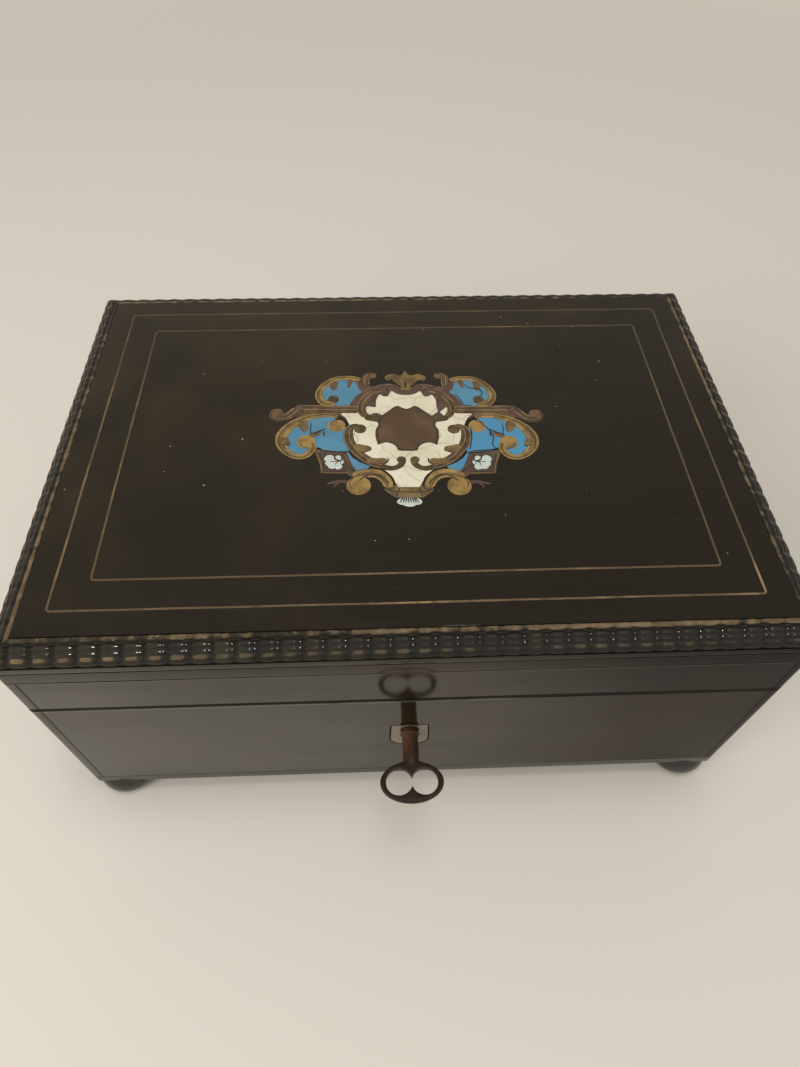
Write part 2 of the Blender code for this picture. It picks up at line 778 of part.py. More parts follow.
def lay_in_top(points, cells, low, high):
    """Flat cells of the cartouche made solid and laid in their place in the lid."""
    loops = rims(points, cells)
    corners = [point for loop in loops for point in loop]
    edges = []
    first = 0
    for loop in loops:
        edges += [(first + index, first + (index + 1) % len(loop)) for index in range(len(loop))]
        first += len(loop)
    flat, flat_edges, faces, old_points, old_edges, old_faces = delaunay_2d_cdt(
        corners, edges, [], 0, merge_distance)
    shape = bmesh.new()
    verts = [shape.verts.new((point.x, point.y, low)) for point in flat]
    for face in faces:
        if is_inside(sum((flat[index] for index in face), Vector((0, 0))) / len(face), loops):
            shape.faces.new([verts[index] for index in face])
    made = bmesh.ops.extrude_face_region(shape, geom=shape.faces[:], use_keep_orig=True)
    lifted = [part for part in made["geom"] if isinstance(part, bmesh.types.BMVert)]
    bmesh.ops.translate(shape, verts=lifted, vec=(0, 0, high - low))
    turn_shape(shape, cartouche_turn_degrees, "Z")
    return move_shape(shape, cartouche_offset, 0, 0)


def make_cartouche(board, lid):
    """Brass, ivory, blue horn and pearl, sawn to one drawing and let into the top board."""
    square = cartouche_length / cartouche_squares
    points, cells = cartouche_plan()
    low = top - veneer_thickness
    pearl = {"shell", "flower"}
    pearl_room = {"shell_room", "flower_room"}

    def is_brass(names):
        return "brass" in names and not names & (pearl_room | {"medallion_room"})

    def is_ivory(names):
        return "ivory" in names and not names & {"brass_room", "medallion_room"}

    def is_blue(names):
        return "blue" in names and not names & {"brass_room", "ivory_room", "flower_room"}

    inlays = [
        ("brass_fretwork", is_brass, brass_seed_share, "brass", False),
        ("ivory_field", is_ivory, ivory_seed_share, "ivory", False),
        ("ivory_crest", is_ivory, crest_seed_share, "ivory", False),
        ("medallion", lambda names: "medallion" in names, medallion_seed_share, "horn", False),
        ("pearl_shell", lambda names: "shell" in names, shell_seed_share, "pearl", False),
        ("upper_blue_field", is_blue, upper_blue_seed_share, "blue", True),
        ("lower_blue_field", is_blue, lower_blue_seed_share, "blue", True),
        ("pearl_flower", lambda names: "flower" in names, flower_seed_share, "pearl", True),
    ]
    for name, wanted, seed, finish, paired in inlays:
        for side, sign in (("_right", 1), ("_left", -1)) if paired else (("", 1),):
            place = (sign * seed[0] * square, seed[1] * square)
            found = join_up(points, cells, wanted, place)
            add_piece(name + side, lay_in_top(points, found, low, top), finish, lid)
    pocket = [cell for cell, names in cells if names]
    cut(board, lay_in_top(points, pocket, low - inlay_gap, top + overrun), "pocket", lid)


def make_top(lid):
    shape = block((-board_half_length, -board_half_depth, board_low),
                  (board_half_length, board_half_depth, top))
    board = add_piece("top_board", shape, "ebonised", lid)
    make_lines(board, lid)
    make_cartouche(board, lid)


def make_linings(base, lid):
    """Silk on card inside the base and the lid, and a padded panel under the top board."""
    low = wall_low
    high = wall_high - lining_drop
    reach_x = inner_half_length - fit_gap
    reach_y = inner_half_depth - fit_gap
    floor = low + lining_thickness
    add_piece("bottom_lining", block((-reach_x, -reach_y, low), (reach_x, reach_y, floor)), "silk", base)
    for name, body, foot, rim in (("wall_lining", base, floor + fit_gap, high),
                                  ("lid_lining", lid, rail_low + lining_drop, rail_high)):
        ring = rectangle_frame(reach_x * 2 - lining_thickness, reach_y * 2 - lining_thickness,
                               lining_thickness, foot, rim)
        add_piece(name, ring, "silk", body)
    make_pad(reach_x - lining_thickness - fit_gap, reach_y - lining_thickness - fit_gap, lid)


def make_pad(half_x, half_y, lid):
    """The lid's silk pad: flat against the board, crowned below, drawn in at its edges."""
    high = board_low - fit_gap
    low = high - pad_thickness
    inset = pad_thickness * pad_inset_share
    rings = ((0, high), (0, low + pad_crown), (inset * pad_edge_share, low + pad_crown * pad_edge_share),
             (inset, low))
    shape = bmesh.new()
    loops = []
    for inward, height in rings:
        outline = rounded_rectangle(half_x - inward, half_y - inward, corner_radius,
                                    pad_corner_steps)
        loops.append([shape.verts.new((x, y, height)) for x, y in outline])
    for first, second in zip(loops, loops[1:]):
        for index in range(len(first)):
            shape.faces.new((first[index - 1], first[index], second[index], second[index - 1]))
    shape.faces.new(loops[0])
    shape.faces.new(loops[-1])
    add_piece("lid_pad", shape, "silk", lid)


def screw(grow=0.0):
    """A countersunk screw along Z with its head's seat at height 0, or the hole for one."""
    foot = -screw_length - grow
    head = overrun if grow else screw_head_rise
    profile = (
        (0, foot), (screw_shank_radius + grow, foot), (screw_shank_radius + grow, -screw_head_height),
        (screw_head_radius + grow, 0), (screw_head_radius + grow, head), (0, head),
    )
    return turned(profile, screw_steps)


def hinge_leaf(lower):
    """A hinge leaf about the hinge axis, which lies along X; the upper leaf has the even knuckles."""
    upward = -1 if lower else 1
    face = upward * leaf_clearance
    heights = sorted((face, face + upward * leaf_thickness))
    step = hinge_width / knuckle_count
    clear = knuckle_radius + fit_gap
    leaf = block((-hinge_width / 2, -hinge_reach, heights[0]), (hinge_width / 2, -clear, heights[1]))
    additions = []
    for index in range(0 if lower else 1, knuckle_count, 2):
        left = -hinge_width / 2 + index * step + fit_gap / 2
        right = left + step - fit_gap
        additions.append(block((left, -clear - fit_gap, heights[0]), (right, 0, heights[1])))
        additions.append(lengthwise(disc(0, 0, knuckle_radius, knuckle_steps), left, right))
    return leaf, additions


def make_hinges(walls, rails, base, lid):
    """Two brass butt hinges let into the rims of the back wall and the back rail."""
    for side, x in (("left", -hinge_spacing / 2), ("right", hinge_spacing / 2)):
        bore = hinge_pin_radius + fit_gap
        pin = lengthwise(disc(0, 0, hinge_pin_radius, screw_steps), -hinge_width / 2, hinge_width / 2)
        add_piece(side + "_hinge_pin", move_shape(pin, x, hinge_y, seam), "brass", base, smooth=True)
        for part, lower, board, body in (("lower", True, walls["back"], base),
                                         ("upper", False, rails["back"], lid)):
            name = side + "_hinge_" + part + "_leaf"
            shape, additions = hinge_leaf(lower)
            leaf = add_piece(name, move_shape(shape, x, hinge_y, seam), "brass", body)
            for count, addition in enumerate(additions):
                join(leaf, move_shape(addition, x, hinge_y, seam), "knuckle_" + str(count), body)
            hole = lengthwise(disc(0, 0, bore, screw_steps), -hinge_width / 2 - overrun,
                              hinge_width / 2 + overrun)
            cut(leaf, move_shape(hole, x, hinge_y, seam), "bore", body)
            make_leaf_seat(board, side, x, lower, body)
            make_hinge_screws(leaf, board, name, x, lower, body)


def make_leaf_seat(board, side, x, lower, body):
    """The recess of a leaf and the round channel of the knuckles."""
    upward = -1 if lower else 1
    reach = hinge_width / 2 + fit_gap
    deep = upward * (leaf_clearance + leaf_thickness + fit_gap)
    heights = sorted((seam - upward * overrun, seam + deep))
    seat = block((x - reach, hinge_y - hinge_reach - fit_gap, heights[0]), (x + reach, hinge_y, heights[1]))
    cut(board, seat, side + "_seat", body)
    channel = lengthwise(disc(0, 0, knuckle_radius + fit_gap, knuckle_steps), x - reach, x + reach)
    cut(board, move_shape(channel, 0, hinge_y, seam), side + "_channel", body)


def make_hinge_screws(leaf, board, name, x, lower, body):
    for place, offset in (("outer", -hinge_screw_spacing / 2), ("inner", hinge_screw_spacing / 2)):
        spot = (x + offset, hinge_y - hinge_screw_reach)
        height = seam + (-leaf_clearance if lower else leaf_clearance)
        shapes = [screw(), screw(fit_gap), screw(fit_gap)]
        for shape in shapes:
            if not lower:
                turn_shape(shape, 180, "X")
            move_shape(shape, spot[0], spot[1], height)
        cut(leaf, shapes[1], place + "_hole", body)
        cut(board, shapes[2], name + "_" + place + "_hole", body)
        add_piece(name.replace("leaf", place) + "_screw", shapes[0], "brass", body, smooth=True)


def key_shape():
    """The key's stem, collar and pipe, turned about the key's axis."""
    inner = depth(key_inner_depth)
    collar = depth(-key_collar_out)
    neck = depth(-bow_out)
    profile = (
        (0, inner - key_bore_length), (key_bore_radius, inner - key_bore_length),
        (key_bore_radius, inner), (key_barrel_radius, inner), (key_barrel_radius, collar),
        (key_collar_radius, collar), (key_collar_radius, collar - key_collar_width),
        (key_barrel_radius, collar - key_collar_width), (key_barrel_radius, neck + key_collar_width),
        (key_neck_radius, neck), (0, neck - bow_rim / 2),
    )
    shape = turned(profile, key_steps)
    return turn_shape(shape, -90, "X")


def key_bow():
    """The bow: an oval ring with two round lobes inside, thick in the middle of its rim."""
    near, far = depth(-bow_out), depth(-bow_reach)
    middle = (near + far) / 2
    half_x, half_y = bow_width / 2, (near - far) / 2
    waist = bow_waist / 2
    reach = half_x - bow_rim
    centre = (reach * reach - waist * waist) / (2 * reach)
    radius = reach - centre
    rings = []
    for step in range(bow_steps):
        angle = math.tau * step / bow_steps
        cosine, sine = math.cos(angle), math.sin(angle)
        outer = Vector((half_x * cosine, half_y * sine, 0))
        lobe = centre * abs(cosine) + math.sqrt(radius ** 2 - (centre * sine) ** 2)
        inner = Vector((lobe * cosine, lobe * sine, 0))
        across = outer - inner
        edge = Vector((0, 0, bow_thickness / 2))
        outer_flat = outer - across * bow_round_share
        inner_flat = inner + across * bow_round_share
        rings.append((outer, outer_flat + edge, inner_flat + edge,
                      inner, inner_flat - edge, outer_flat - edge))
    shape = bmesh.new()
    loops = [[shape.verts.new(point + Vector((0, middle, 0))) for point in ring] for ring in rings]
    for index, ring in enumerate(loops):
        before = loops[index - 1]
        for corner in range(len(ring)):
            shape.faces.new((before[corner - 1], before[corner], ring[corner], ring[corner - 1]))
    return shape


def keyhole(front, back):
    """A keyhole that is clear of the barrel and the bit: a round hole and a slot below it."""
    hole = rod(key_barrel_radius + fit_gap, -depth(back), -depth(front), key_steps)
    turn_shape(hole, 90, "X")
    half = bit_thickness / 2 + fit_gap
    slot = block((-half, depth(front), -bit_radius - fit_gap), (half, depth(back), 0))
    return hole, slot


def cut_keyhole(piece, front, back, body):
    for name, shape in zip(("round", "slot"), keyhole(front, back)):
        cut(piece, move_shape(shape, 0, 0, key_height), "keyhole_" + name, body)


def make_key(key):
    piece = add_piece("key", move_shape(key_shape(), 0, 0, key_height), "iron", key, smooth=True)
    join(piece, move_shape(key_bow(), 0, 0, key_height), "bow", key)
    half = bit_thickness / 2
    bit = block((-bit_radius, depth(bit_front_depth), -half),
                (-(key_bore_radius + key_barrel_radius) / 2, depth(bit_back_depth), half))
    join(piece, move_shape(bit, 0, 0, key_height), "bit", key)


def make_escutcheon(wall, base):
    """The inlaid keyhole plate: straight sides that flare a little, and a rounded lower edge."""
    def outline(grow):
        half = escutcheon_width / 2
        low = escutcheon_rise - escutcheon_height
        points = [(half, escutcheon_rise), (-half, escutcheon_rise)]
        for step in range(escutcheon_steps + 1):
            angle = math.pi * (1 + step / escutcheon_steps)
            points.append((half * escutcheon_flare_share * math.cos(angle),
                           low + half * escutcheon_round_share * (1 + math.sin(angle))))
        return grown(anticlockwise(points), grow)
    front = depth(0)
    plate = upright(outline(0.0), front, front + escutcheon_thickness)
    escutcheon = add_piece("escutcheon", move_shape(plate, 0, 0, key_height), "old_brass", base)
    cut_keyhole(escutcheon, -overrun, escutcheon_thickness + overrun, base)
    seat = upright(outline(inlay_gap), front - overrun, front + escutcheon_thickness + inlay_gap)
    cut(wall, move_shape(seat, 0, 0, key_height), "escutcheon_seat", base)


def make_lock(wall, base, bolt_body):
    """A mortise lock: selvedge and plate, case with guides, and the bolt that the key drives."""
    selvedge_high = wall_high - selvedge_sink
    selvedge_low = selvedge_high - plate_thickness
    plate_low = key_height - case_drop - plate_lap
    section = (
        (depth(case_front_depth), selvedge_low), (depth(plate_front_depth), selvedge_low),
        (depth(plate_front_depth), plate_low), (depth(plate_back_depth), plate_low),
        (depth(plate_back_depth), selvedge_high), (depth(case_front_depth), selvedge_high),
    )
    plate = add_piece("lock_plate", lengthwise(section, -plate_half_width, plate_half_width), "brass", base)
    pin = rod(key_bore_radius - fit_gap, -depth(plate_front_depth + plate_thickness / 2),
              -depth(plate_front_depth - drill_pin_length), screw_steps)
    join(plate, move_shape(turn_shape(pin, 90, "X"), 0, 0, key_height), "drill_pin", base)
    half = staple_thickness / 2 + staple_slot_side_clearance
    slot = block((-half, depth(staple_front_depth - staple_slot_clearance), selvedge_low - overrun),
                 (half, depth(staple_back_depth + staple_slot_clearance), selvedge_high + overrun))
    cut(plate, slot, "staple_slot", base)

    case_low = key_height - case_drop
    case_high = selvedge_low - fit_gap
    case_back_depth = plate_front_depth - fit_gap
    inside = case_half_width - case_rim
    case = add_piece("lock_case", block(
        (-case_half_width, depth(case_front_depth), case_low),
        (case_half_width, depth(case_back_depth), case_high)), "brass", base)
    room = block((-inside, depth(case_room_depth), case_low + case_rim),
                 (inside, depth(case_back_depth + overrun), case_high + overrun))
    cut(case, room, "room", base)
    guide_front = depth(case_front_depth + case_wall / 2)
    guide_back = depth(case_back_depth)
    under = key_height + bolt_low - fit_gap
    over = key_height + bolt_high + fit_gap
    wall_line = inside + case_rim / 2
    guides = (
        (bolt_guide_start, wall_line, under - bolt_guide_thickness, under),
        (-wall_line, -bolt_guide_start, under - bolt_guide_thickness, under),
        (bolt_cover_start, wall_line, over, over + bolt_guide_thickness),
    )
    for count, (left, right, low, high) in enumerate(guides):
        join(case, block((left, guide_front, low), (right, guide_back, high)), "guide_" + str(count), base)
    cut_keyhole(case, case_front_depth - overrun, case_room_depth + fit_gap, base)
    make_bolt(bolt_body)

    seats = (
        ("case", case_half_width + fit_gap, mortise_front_depth, case_back_depth + overrun,
         case_low - fit_gap),
        ("plate", plate_half_width + fit_gap, plate_front_depth - fit_gap, wall_thickness + overrun,
         plate_low - fit_gap),
        ("selvedge", plate_half_width + fit_gap, case_front_depth - fit_gap, wall_thickness + overrun,
         selvedge_low - fit_gap),
    )
    for name, half, front, back, low in seats:
        shape = block((-half, depth(front), low), (half, depth(back), wall_high + overrun))
        cut(wall, shape, name + "_seat", base)
    for name, x in (("left", -plate_screw_out), ("right", plate_screw_out)):
        shapes = [screw(), screw(fit_gap), screw(fit_gap)]
        for shape in shapes:
            turn_shape(shape, 90, "X")
            turn_shape(shape, 180, "Z")
            move_shape(shape, x, depth(plate_back_depth), key_height)
        cut(plate, shapes[1], name + "_hole", base)
        cut(wall, shapes[2], name + "_lock_hole", base)
        add_piece(name + "_lock_screw", shapes[0], "brass", base, smooth=True)


def make_bolt(body):
    """A bolt bar with a talon notch below, a riser at its left end and a nose for the staple."""
    front = depth(case_room_depth + fit_gap)
    back = depth(plate_front_depth - fit_gap)
    low, high = key_height + bolt_low, key_height + bolt_high
    notch = key_height + bit_radius + talon_clearance
    right = case_half_width - case_rim - bolt_throw - bolt_end_clearance
    bar = (
        (-bolt_left, low), (-talon_left, low), (-talon_left, notch), (talon_right, notch),
        (talon_right, low), (right, low), (right, high), (-bolt_left, high),
    )
    bolt = add_piece("lock_bolt", upright(bar, front, back), "brass", body)
    nose_high = seam - nose_drop
    nose_low = nose_high - nose_height
    tip = -staple_thickness / 2 - nose_tip_clearance
    riser_right = bolt_riser_width - bolt_left
    riser = (
        (-bolt_left, high - overrun), (riser_right, high - overrun), (riser_right, nose_low),
        (tip, nose_low), (tip, nose_high), (-bolt_left, nose_high),
    )
    front = depth(eye_front_depth + nose_clearance)
    join(bolt, upright(riser, front, depth(eye_back_depth - nose_clearance)), "riser", body)


def make_link(rail, lid):
    """The link plate in the front rail, with the staple that the bolt passes through."""
    low = rail_low + fit_gap
    high = low + link_thickness
    plate = add_piece("link_plate", block(
        (-link_half_length, depth(link_front_depth), low),
        (link_half_length, depth(link_back_depth), high)), "brass", lid)
    half = staple_thickness / 2
    eye_high = seam - nose_drop + fit_gap
    eye_low = seam - nose_drop - nose_height - fit_gap
    staple = block((-half, depth(staple_front_depth), eye_low - staple_foot),
                   (half, depth(staple_back_depth), low + link_thickness / 2))
    join(plate, staple, "staple", lid)
    eye = block((-half - overrun, depth(eye_front_depth), eye_low),
                (half + overrun, depth(eye_back_depth), eye_high))
    cut(plate, eye, "eye", lid)
    seat = block((-link_half_length - fit_gap, depth(link_front_depth - fit_gap), rail_low - overrun),
                 (link_half_length + fit_gap, depth(link_back_depth + fit_gap), high + fit_gap))
    cut(rail, seat, "link_seat", lid)
    middle = depth((link_front_depth + link_back_depth) / 2)
    for name, x in (("left", link_screw_inset - link_half_length),
                    ("right", link_half_length - link_screw_inset)):
        shapes = [screw(), screw(fit_gap), screw(fit_gap)]
        for shape in shapes:
            turn_shape(shape, 180, "X")
            move_shape(shape, x, middle, low)
        cut(plate, shapes[1], name + "_hole", lid)
        cut(rail, shapes[2], name + "_link_hole", lid)
        add_piece(name + "_link_screw", shapes[0], "brass", lid, smooth=True)


def make():
    clear_scene()
    stand = carrier("stand", 0, 0, 0)
    base = carrier("base", 0, 0, 0, stand)
    lid = carrier("lid_hinge_axis", 0, hinge_y, seam, base)
    key = carrier("key_axis", 0, depth(0), key_height, base)
    bolt_body = carrier("bolt_slide", 0, depth(eye_front_depth), key_height, base)
    make_bottom(base)
    make_feet(base)
    walls = make_walls(base)
    rails = make_rails(lid)
    make_mouldings(lid)
    make_top(lid)
    make_linings(base, lid)
    make_hinges(walls, rails, base, lid)
    make_key(key)
    make_escutcheon(walls["front"], base)
    cut_keyhole(walls["front"], -overrun, mortise_front_depth + overrun, base)
    make_lock(walls["front"], base, bolt_body)
    make_link(rails["front"], lid)
    # The whole box with its key and feet stands over the origin
    front_reach = bow_reach
    back_reach = foot_radius - foot_inset
    stand.location.y = (front_reach - back_reach) / 2


make()
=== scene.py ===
import json
import math

import bmesh
import bpy
from mathutils import Matrix, Vector, noise


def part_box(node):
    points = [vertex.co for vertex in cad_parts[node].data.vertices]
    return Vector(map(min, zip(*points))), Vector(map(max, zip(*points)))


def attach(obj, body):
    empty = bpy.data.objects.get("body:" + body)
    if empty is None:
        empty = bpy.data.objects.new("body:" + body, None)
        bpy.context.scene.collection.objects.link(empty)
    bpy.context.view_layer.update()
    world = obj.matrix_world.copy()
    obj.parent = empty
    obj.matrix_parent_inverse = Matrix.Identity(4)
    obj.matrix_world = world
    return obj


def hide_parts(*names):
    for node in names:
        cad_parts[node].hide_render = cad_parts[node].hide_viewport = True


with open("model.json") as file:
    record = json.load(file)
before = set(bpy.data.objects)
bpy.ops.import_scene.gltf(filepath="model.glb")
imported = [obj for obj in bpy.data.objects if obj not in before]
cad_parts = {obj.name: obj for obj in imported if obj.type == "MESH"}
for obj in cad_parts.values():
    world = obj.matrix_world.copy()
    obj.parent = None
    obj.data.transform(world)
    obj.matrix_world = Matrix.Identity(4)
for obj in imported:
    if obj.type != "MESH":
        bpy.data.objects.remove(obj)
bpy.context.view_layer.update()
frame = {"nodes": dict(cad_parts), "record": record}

nodes = frame["nodes"]
slots = {part["node"]: part["material_slot"] for part in frame["record"]["subparts"]}
scene = bpy.context.scene
mm = 0.001
caseHalf = (150.0 * mm, 104.8 * mm)         # half of the case's length and of its depth
boardLow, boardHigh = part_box("top_board")
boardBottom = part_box("bottom_board")[0].z
top = boardHigh.z
middleY = (boardLow.y + boardHigh.y) / 2


# Shader helpers

def newMaterial(name):
    material = bpy.data.materials.new(name)
    material.use_nodes = True
    return material, material.node_tree, material.node_tree.nodes["Principled BSDF"]


def plug(tree, value, socket):              # a link where the value is a socket, or else a fixed value
    if hasattr(value, "is_output"):
        tree.links.new(value, socket)
    elif socket.type == "RGBA" and len(value) == 3:
        socket.default_value = (*value, 1)
    else:
        socket.default_value = value


def calc(tree, operation, *values, clamp=False):
    step = tree.nodes.new("ShaderNodeMath")
    step.operation = operation
    step.use_clamp = clamp
    for value, socket in zip(values, step.inputs):
        plug(tree, value, socket)
    return step.outputs[0]


def times(tree, first, second):
    return calc(tree, "MULTIPLY", first, second)


def blendColour(tree, amount, first, second):
    step = tree.nodes.new("ShaderNodeMix")
    step.data_type = "RGBA"
    for value, index in ((amount, 0), (first, 6), (second, 7)):
        plug(tree, value, step.inputs[index])
    return step.outputs[2]


def cloud(tree, vector, scale, detail=3.0, roughness=0.55, distortion=0.0):
    step = tree.nodes.new("ShaderNodeTexNoise")
    for value, label in ((vector, "Vector"), (scale, "Scale"), (detail, "Detail"), (roughness, "Roughness"),
                         (distortion, "Distortion")):
        plug(tree, value, step.inputs[label])
    return step.outputs["Fac"]


def cells(tree, vector, scale, feature="F1"):
    step = tree.nodes.new("ShaderNodeTexVoronoi")
    step.feature = feature
    plug(tree, vector, step.inputs["Vector"])
    plug(tree, scale, step.inputs["Scale"])
    return step.outputs


def stretch(tree, vector, scale, turn=0.0):
    step = tree.nodes.new("ShaderNodeMapping")
    plug(tree, vector, step.inputs["Vector"])
    step.inputs["Scale"].default_value = scale
    step.inputs["Rotation"].default_value = (0, 0, turn)
    return step.outputs["Vector"]


def ramp(tree, value, low, high):           # 0 below low, 1 above high, smooth between
    step = tree.nodes.new("ShaderNodeMapRange")
    step.interpolation_type = "SMOOTHSTEP"
    for given, label in ((value, "Value"), (low, "From Min"), (high, "From Max")):
        plug(tree, given, step.inputs[label])
    return step.outputs["Result"]


def texture(tree, kind="Object"):
    return tree.nodes.new("ShaderNodeTexCoord").outputs[kind]


def split(tree, vector):
    step = tree.nodes.new("ShaderNodeSeparateXYZ")
    plug(tree, vector, step.inputs[0])
    return step.outputs


def attribute(tree, name):
    step = tree.nodes.new("ShaderNodeAttribute")
    step.attribute_name = name
    return step.outputs["Fac"]


def bump(tree, shader, height, distance):
    step = tree.nodes.new("ShaderNodeBump")
    step.inputs["Strength"].default_value = 1.0
    step.inputs["Distance"].default_value = distance
    plug(tree, height, step.inputs["Height"])
    tree.links.new(step.outputs["Normal"], shader.inputs["Normal"])


def setShader(shader, **values):
    for label, value in values.items():
        plug(shader.id_data, value, shader.inputs[label.replace("_", " ")])


def newGroup(name, inputs, outputs):
    tree = bpy.data.node_groups.new(name, "ShaderNodeTree")
    for label, kind, value in inputs:
        socket = tree.interface.new_socket(label, in_out="INPUT", socket_type="NodeSocket" + kind)
        if value is not None:
            socket.default_value = value
    for label, kind in outputs:
        tree.interface.new_socket(label, in_out="OUTPUT", socket_type="NodeSocket" + kind)
    return tree, tree.nodes.new("NodeGroupInput").outputs, tree.nodes.new("NodeGroupOutput").inputs


def useGroup(tree, group, **values):
    step = tree.nodes.new("ShaderNodeGroup")
    step.node_tree = group
    for label, value in values.items():
        plug(tree, value, step.inputs[label])
    return step.outputs


def seenDirectly(tree):                     # 1 for what the camera, the gloss and clear glass see
    rays = tree.nodes.new("ShaderNodeLightPath").outputs
    seen = calc(tree, "ADD", rays["Is Camera Ray"], rays["Is Glossy Ray"])
    return calc(tree, "ADD", seen, rays["Is Transmission Ray"], clamp=True)


# Effects that several finishes use

def makeDust():                             # pale specks that lie on the lacquer
    tree, given, put = newGroup("dust", (("Vector", "Vector", None), ("Scale", "Float", 260.0),
                                         ("Amount", "Float", 0.06)), (("Mask", "Float"),))
    found = cells(tree, given["Vector"], given["Scale"])
    size = times(tree, split(tree, found["Color"])[1], 0.13)
    dots = calc(tree, "LESS_THAN", found["Distance"], size)
    rare = calc(tree, "LESS_THAN", split(tree, found["Color"])[0], given["Amount"])
    plug(tree, times(tree, dots, rare), put["Mask"])
    return tree


def makeScratches():                        # fine hairlines in patches, running three ways
    tree, given, put = newGroup("scratches", (("Vector", "Vector", None), ("Scale", "Float", 60.0)),
                                (("Mask", "Float"),))
    total = 0.0
    for turn in (0.4, 1.3, 2.2):
        lines = cloud(tree, stretch(tree, given["Vector"], (1.0, 0.04, 1.0), turn),
                      times(tree, given["Scale"], 7.0), 1.0)
        near = calc(tree, "ABSOLUTE", calc(tree, "SUBTRACT", lines, 0.5))
        line = calc(tree, "LESS_THAN", near, 0.004)
        patch = ramp(tree, cloud(tree, given["Vector"], 30.0 + 12.0 * turn, 2.0), 0.57, 0.66)
        total = calc(tree, "ADD", total, times(tree, line, patch))
    plug(tree, calc(tree, "MINIMUM", total, 1.0), put["Mask"])
    return tree


def makeThinLine():                         # a line where a value is at a level
    tree, given, put = newGroup("thin_line", (("Value", "Float", 0.0), ("Level", "Float", 0.0),
                                              ("Width", "Float", 0.0004)), (("Mask", "Float"),))
    off = calc(tree, "ABSOLUTE", calc(tree, "SUBTRACT", given["Value"], given["Level"]))
    inner = times(tree, given["Width"], 0.35)
    outer = times(tree, given["Width"], 0.75)
    plug(tree, calc(tree, "SUBTRACT", 1.0, ramp(tree, off, inner, outer)), put["Mask"])
    return tree


def makeTarnish():                          # metal gone dull in patches, with a roughness to match
    tree, given, put = newGroup(
        "tarnish", (("Vector", "Vector", None), ("Bright", "Color", (0.6, 0.45, 0.2, 1)),
                    ("Dull", "Color", (0.2, 0.13, 0.06, 1)), ("Amount", "Float", 0.5),
                    ("Scale", "Float", 120.0)), (("Color", "Color"), ("Roughness", "Float")))
    broad = cloud(tree, given["Vector"], given["Scale"], 4.0)
    fine = times(tree, cloud(tree, given["Vector"], 1500.0, 2.0), 0.4)
    level = calc(tree, "SUBTRACT", 1.2, given["Amount"])
    mask = ramp(tree, calc(tree, "ADD", broad, fine), calc(tree, "SUBTRACT", level, 0.16),
                calc(tree, "ADD", level, 0.16))
    plug(tree, blendColour(tree, mask, given["Bright"], given["Dull"]), put["Color"])
    plug(tree, calc(tree, "MULTIPLY_ADD", mask, 0.22, 0.28), put["Roughness"])
    return tree


def makeWeave():                            # ribbed silk: fine cords across, on the piece's own UV map
    tree, given, put = newGroup("weave", (("Vector", "Vector", None), ("Rib", "Float", 0.6)),
                                (("Height", "Float"), ("Mask", "Float")))
    axes = split(tree, given["Vector"])
    ribs = calc(tree, "SINE", times(tree, axes[1], calc(tree, "DIVIDE", math.tau, given["Rib"])))
    threads = calc(tree, "SINE", times(tree, axes[0], math.tau / 0.35))
    height = calc(tree, "MULTIPLY_ADD", threads, 0.3, ribs)
    plug(tree, calc(tree, "MULTIPLY_ADD", height, 0.4, 0.5), put["Height"])
    watered = cloud(tree, stretch(tree, given["Vector"], (0.012, 0.09, 1.0)), 3.0, 4.0, 0.6, 1.5)
    plug(tree, ramp(tree, watered, 0.40, 0.62), put["Mask"])
    return tree


dust = makeDust()
scratches = makeScratches()
thinLine = makeThinLine()
tarnish = makeTarnish()
weave = makeWeave()


def lineAt(tree, value, level, width):
    return useGroup(tree, thinLine, Value=value, Level=level, Width=width)["Mask"]


def aged(tree, spot, bright, dull, amount, scale):
    return useGroup(tree, tarnish, Vector=spot, Bright=bright, Dull=dull, Amount=amount, Scale=scale)


# Studio: floor, world and lamps

studio = {
    "backdrop": (0.635, 0.58, 0.485),       # what the camera and the gloss see far behind it
    "fade": (0.65, 1.7),                    # where the floor turns into the backdrop, from the middle
    "ambient": (0.46, 0.45, 0.43),          # what lights it all round
    "floor": (0.72, 0.675, 0.605),
    "floorSize": 5.0,
    # place, aim, size, watts, colour, whether it lights only the gloss (the others light all but the gloss)
    "lamps": {
        "window_lamp": ((-0.85, -0.75, 0.85), (-0.15, -0.22, 0.0), 0.70, 8.5, (1.0, 0.98, 0.95), False),
        "ceiling_lamp": ((0.10, -0.02, 2.40), (0.0, 0.1, 0.0), 0.70, 17.5, (1.0, 0.97, 0.92), False),
        "small_lamp": ((0.27, -0.45, 1.30), (0.0, -0.1, 0.1), 0.13, 3.4, (1.0, 0.97, 0.93), True),
    },
}


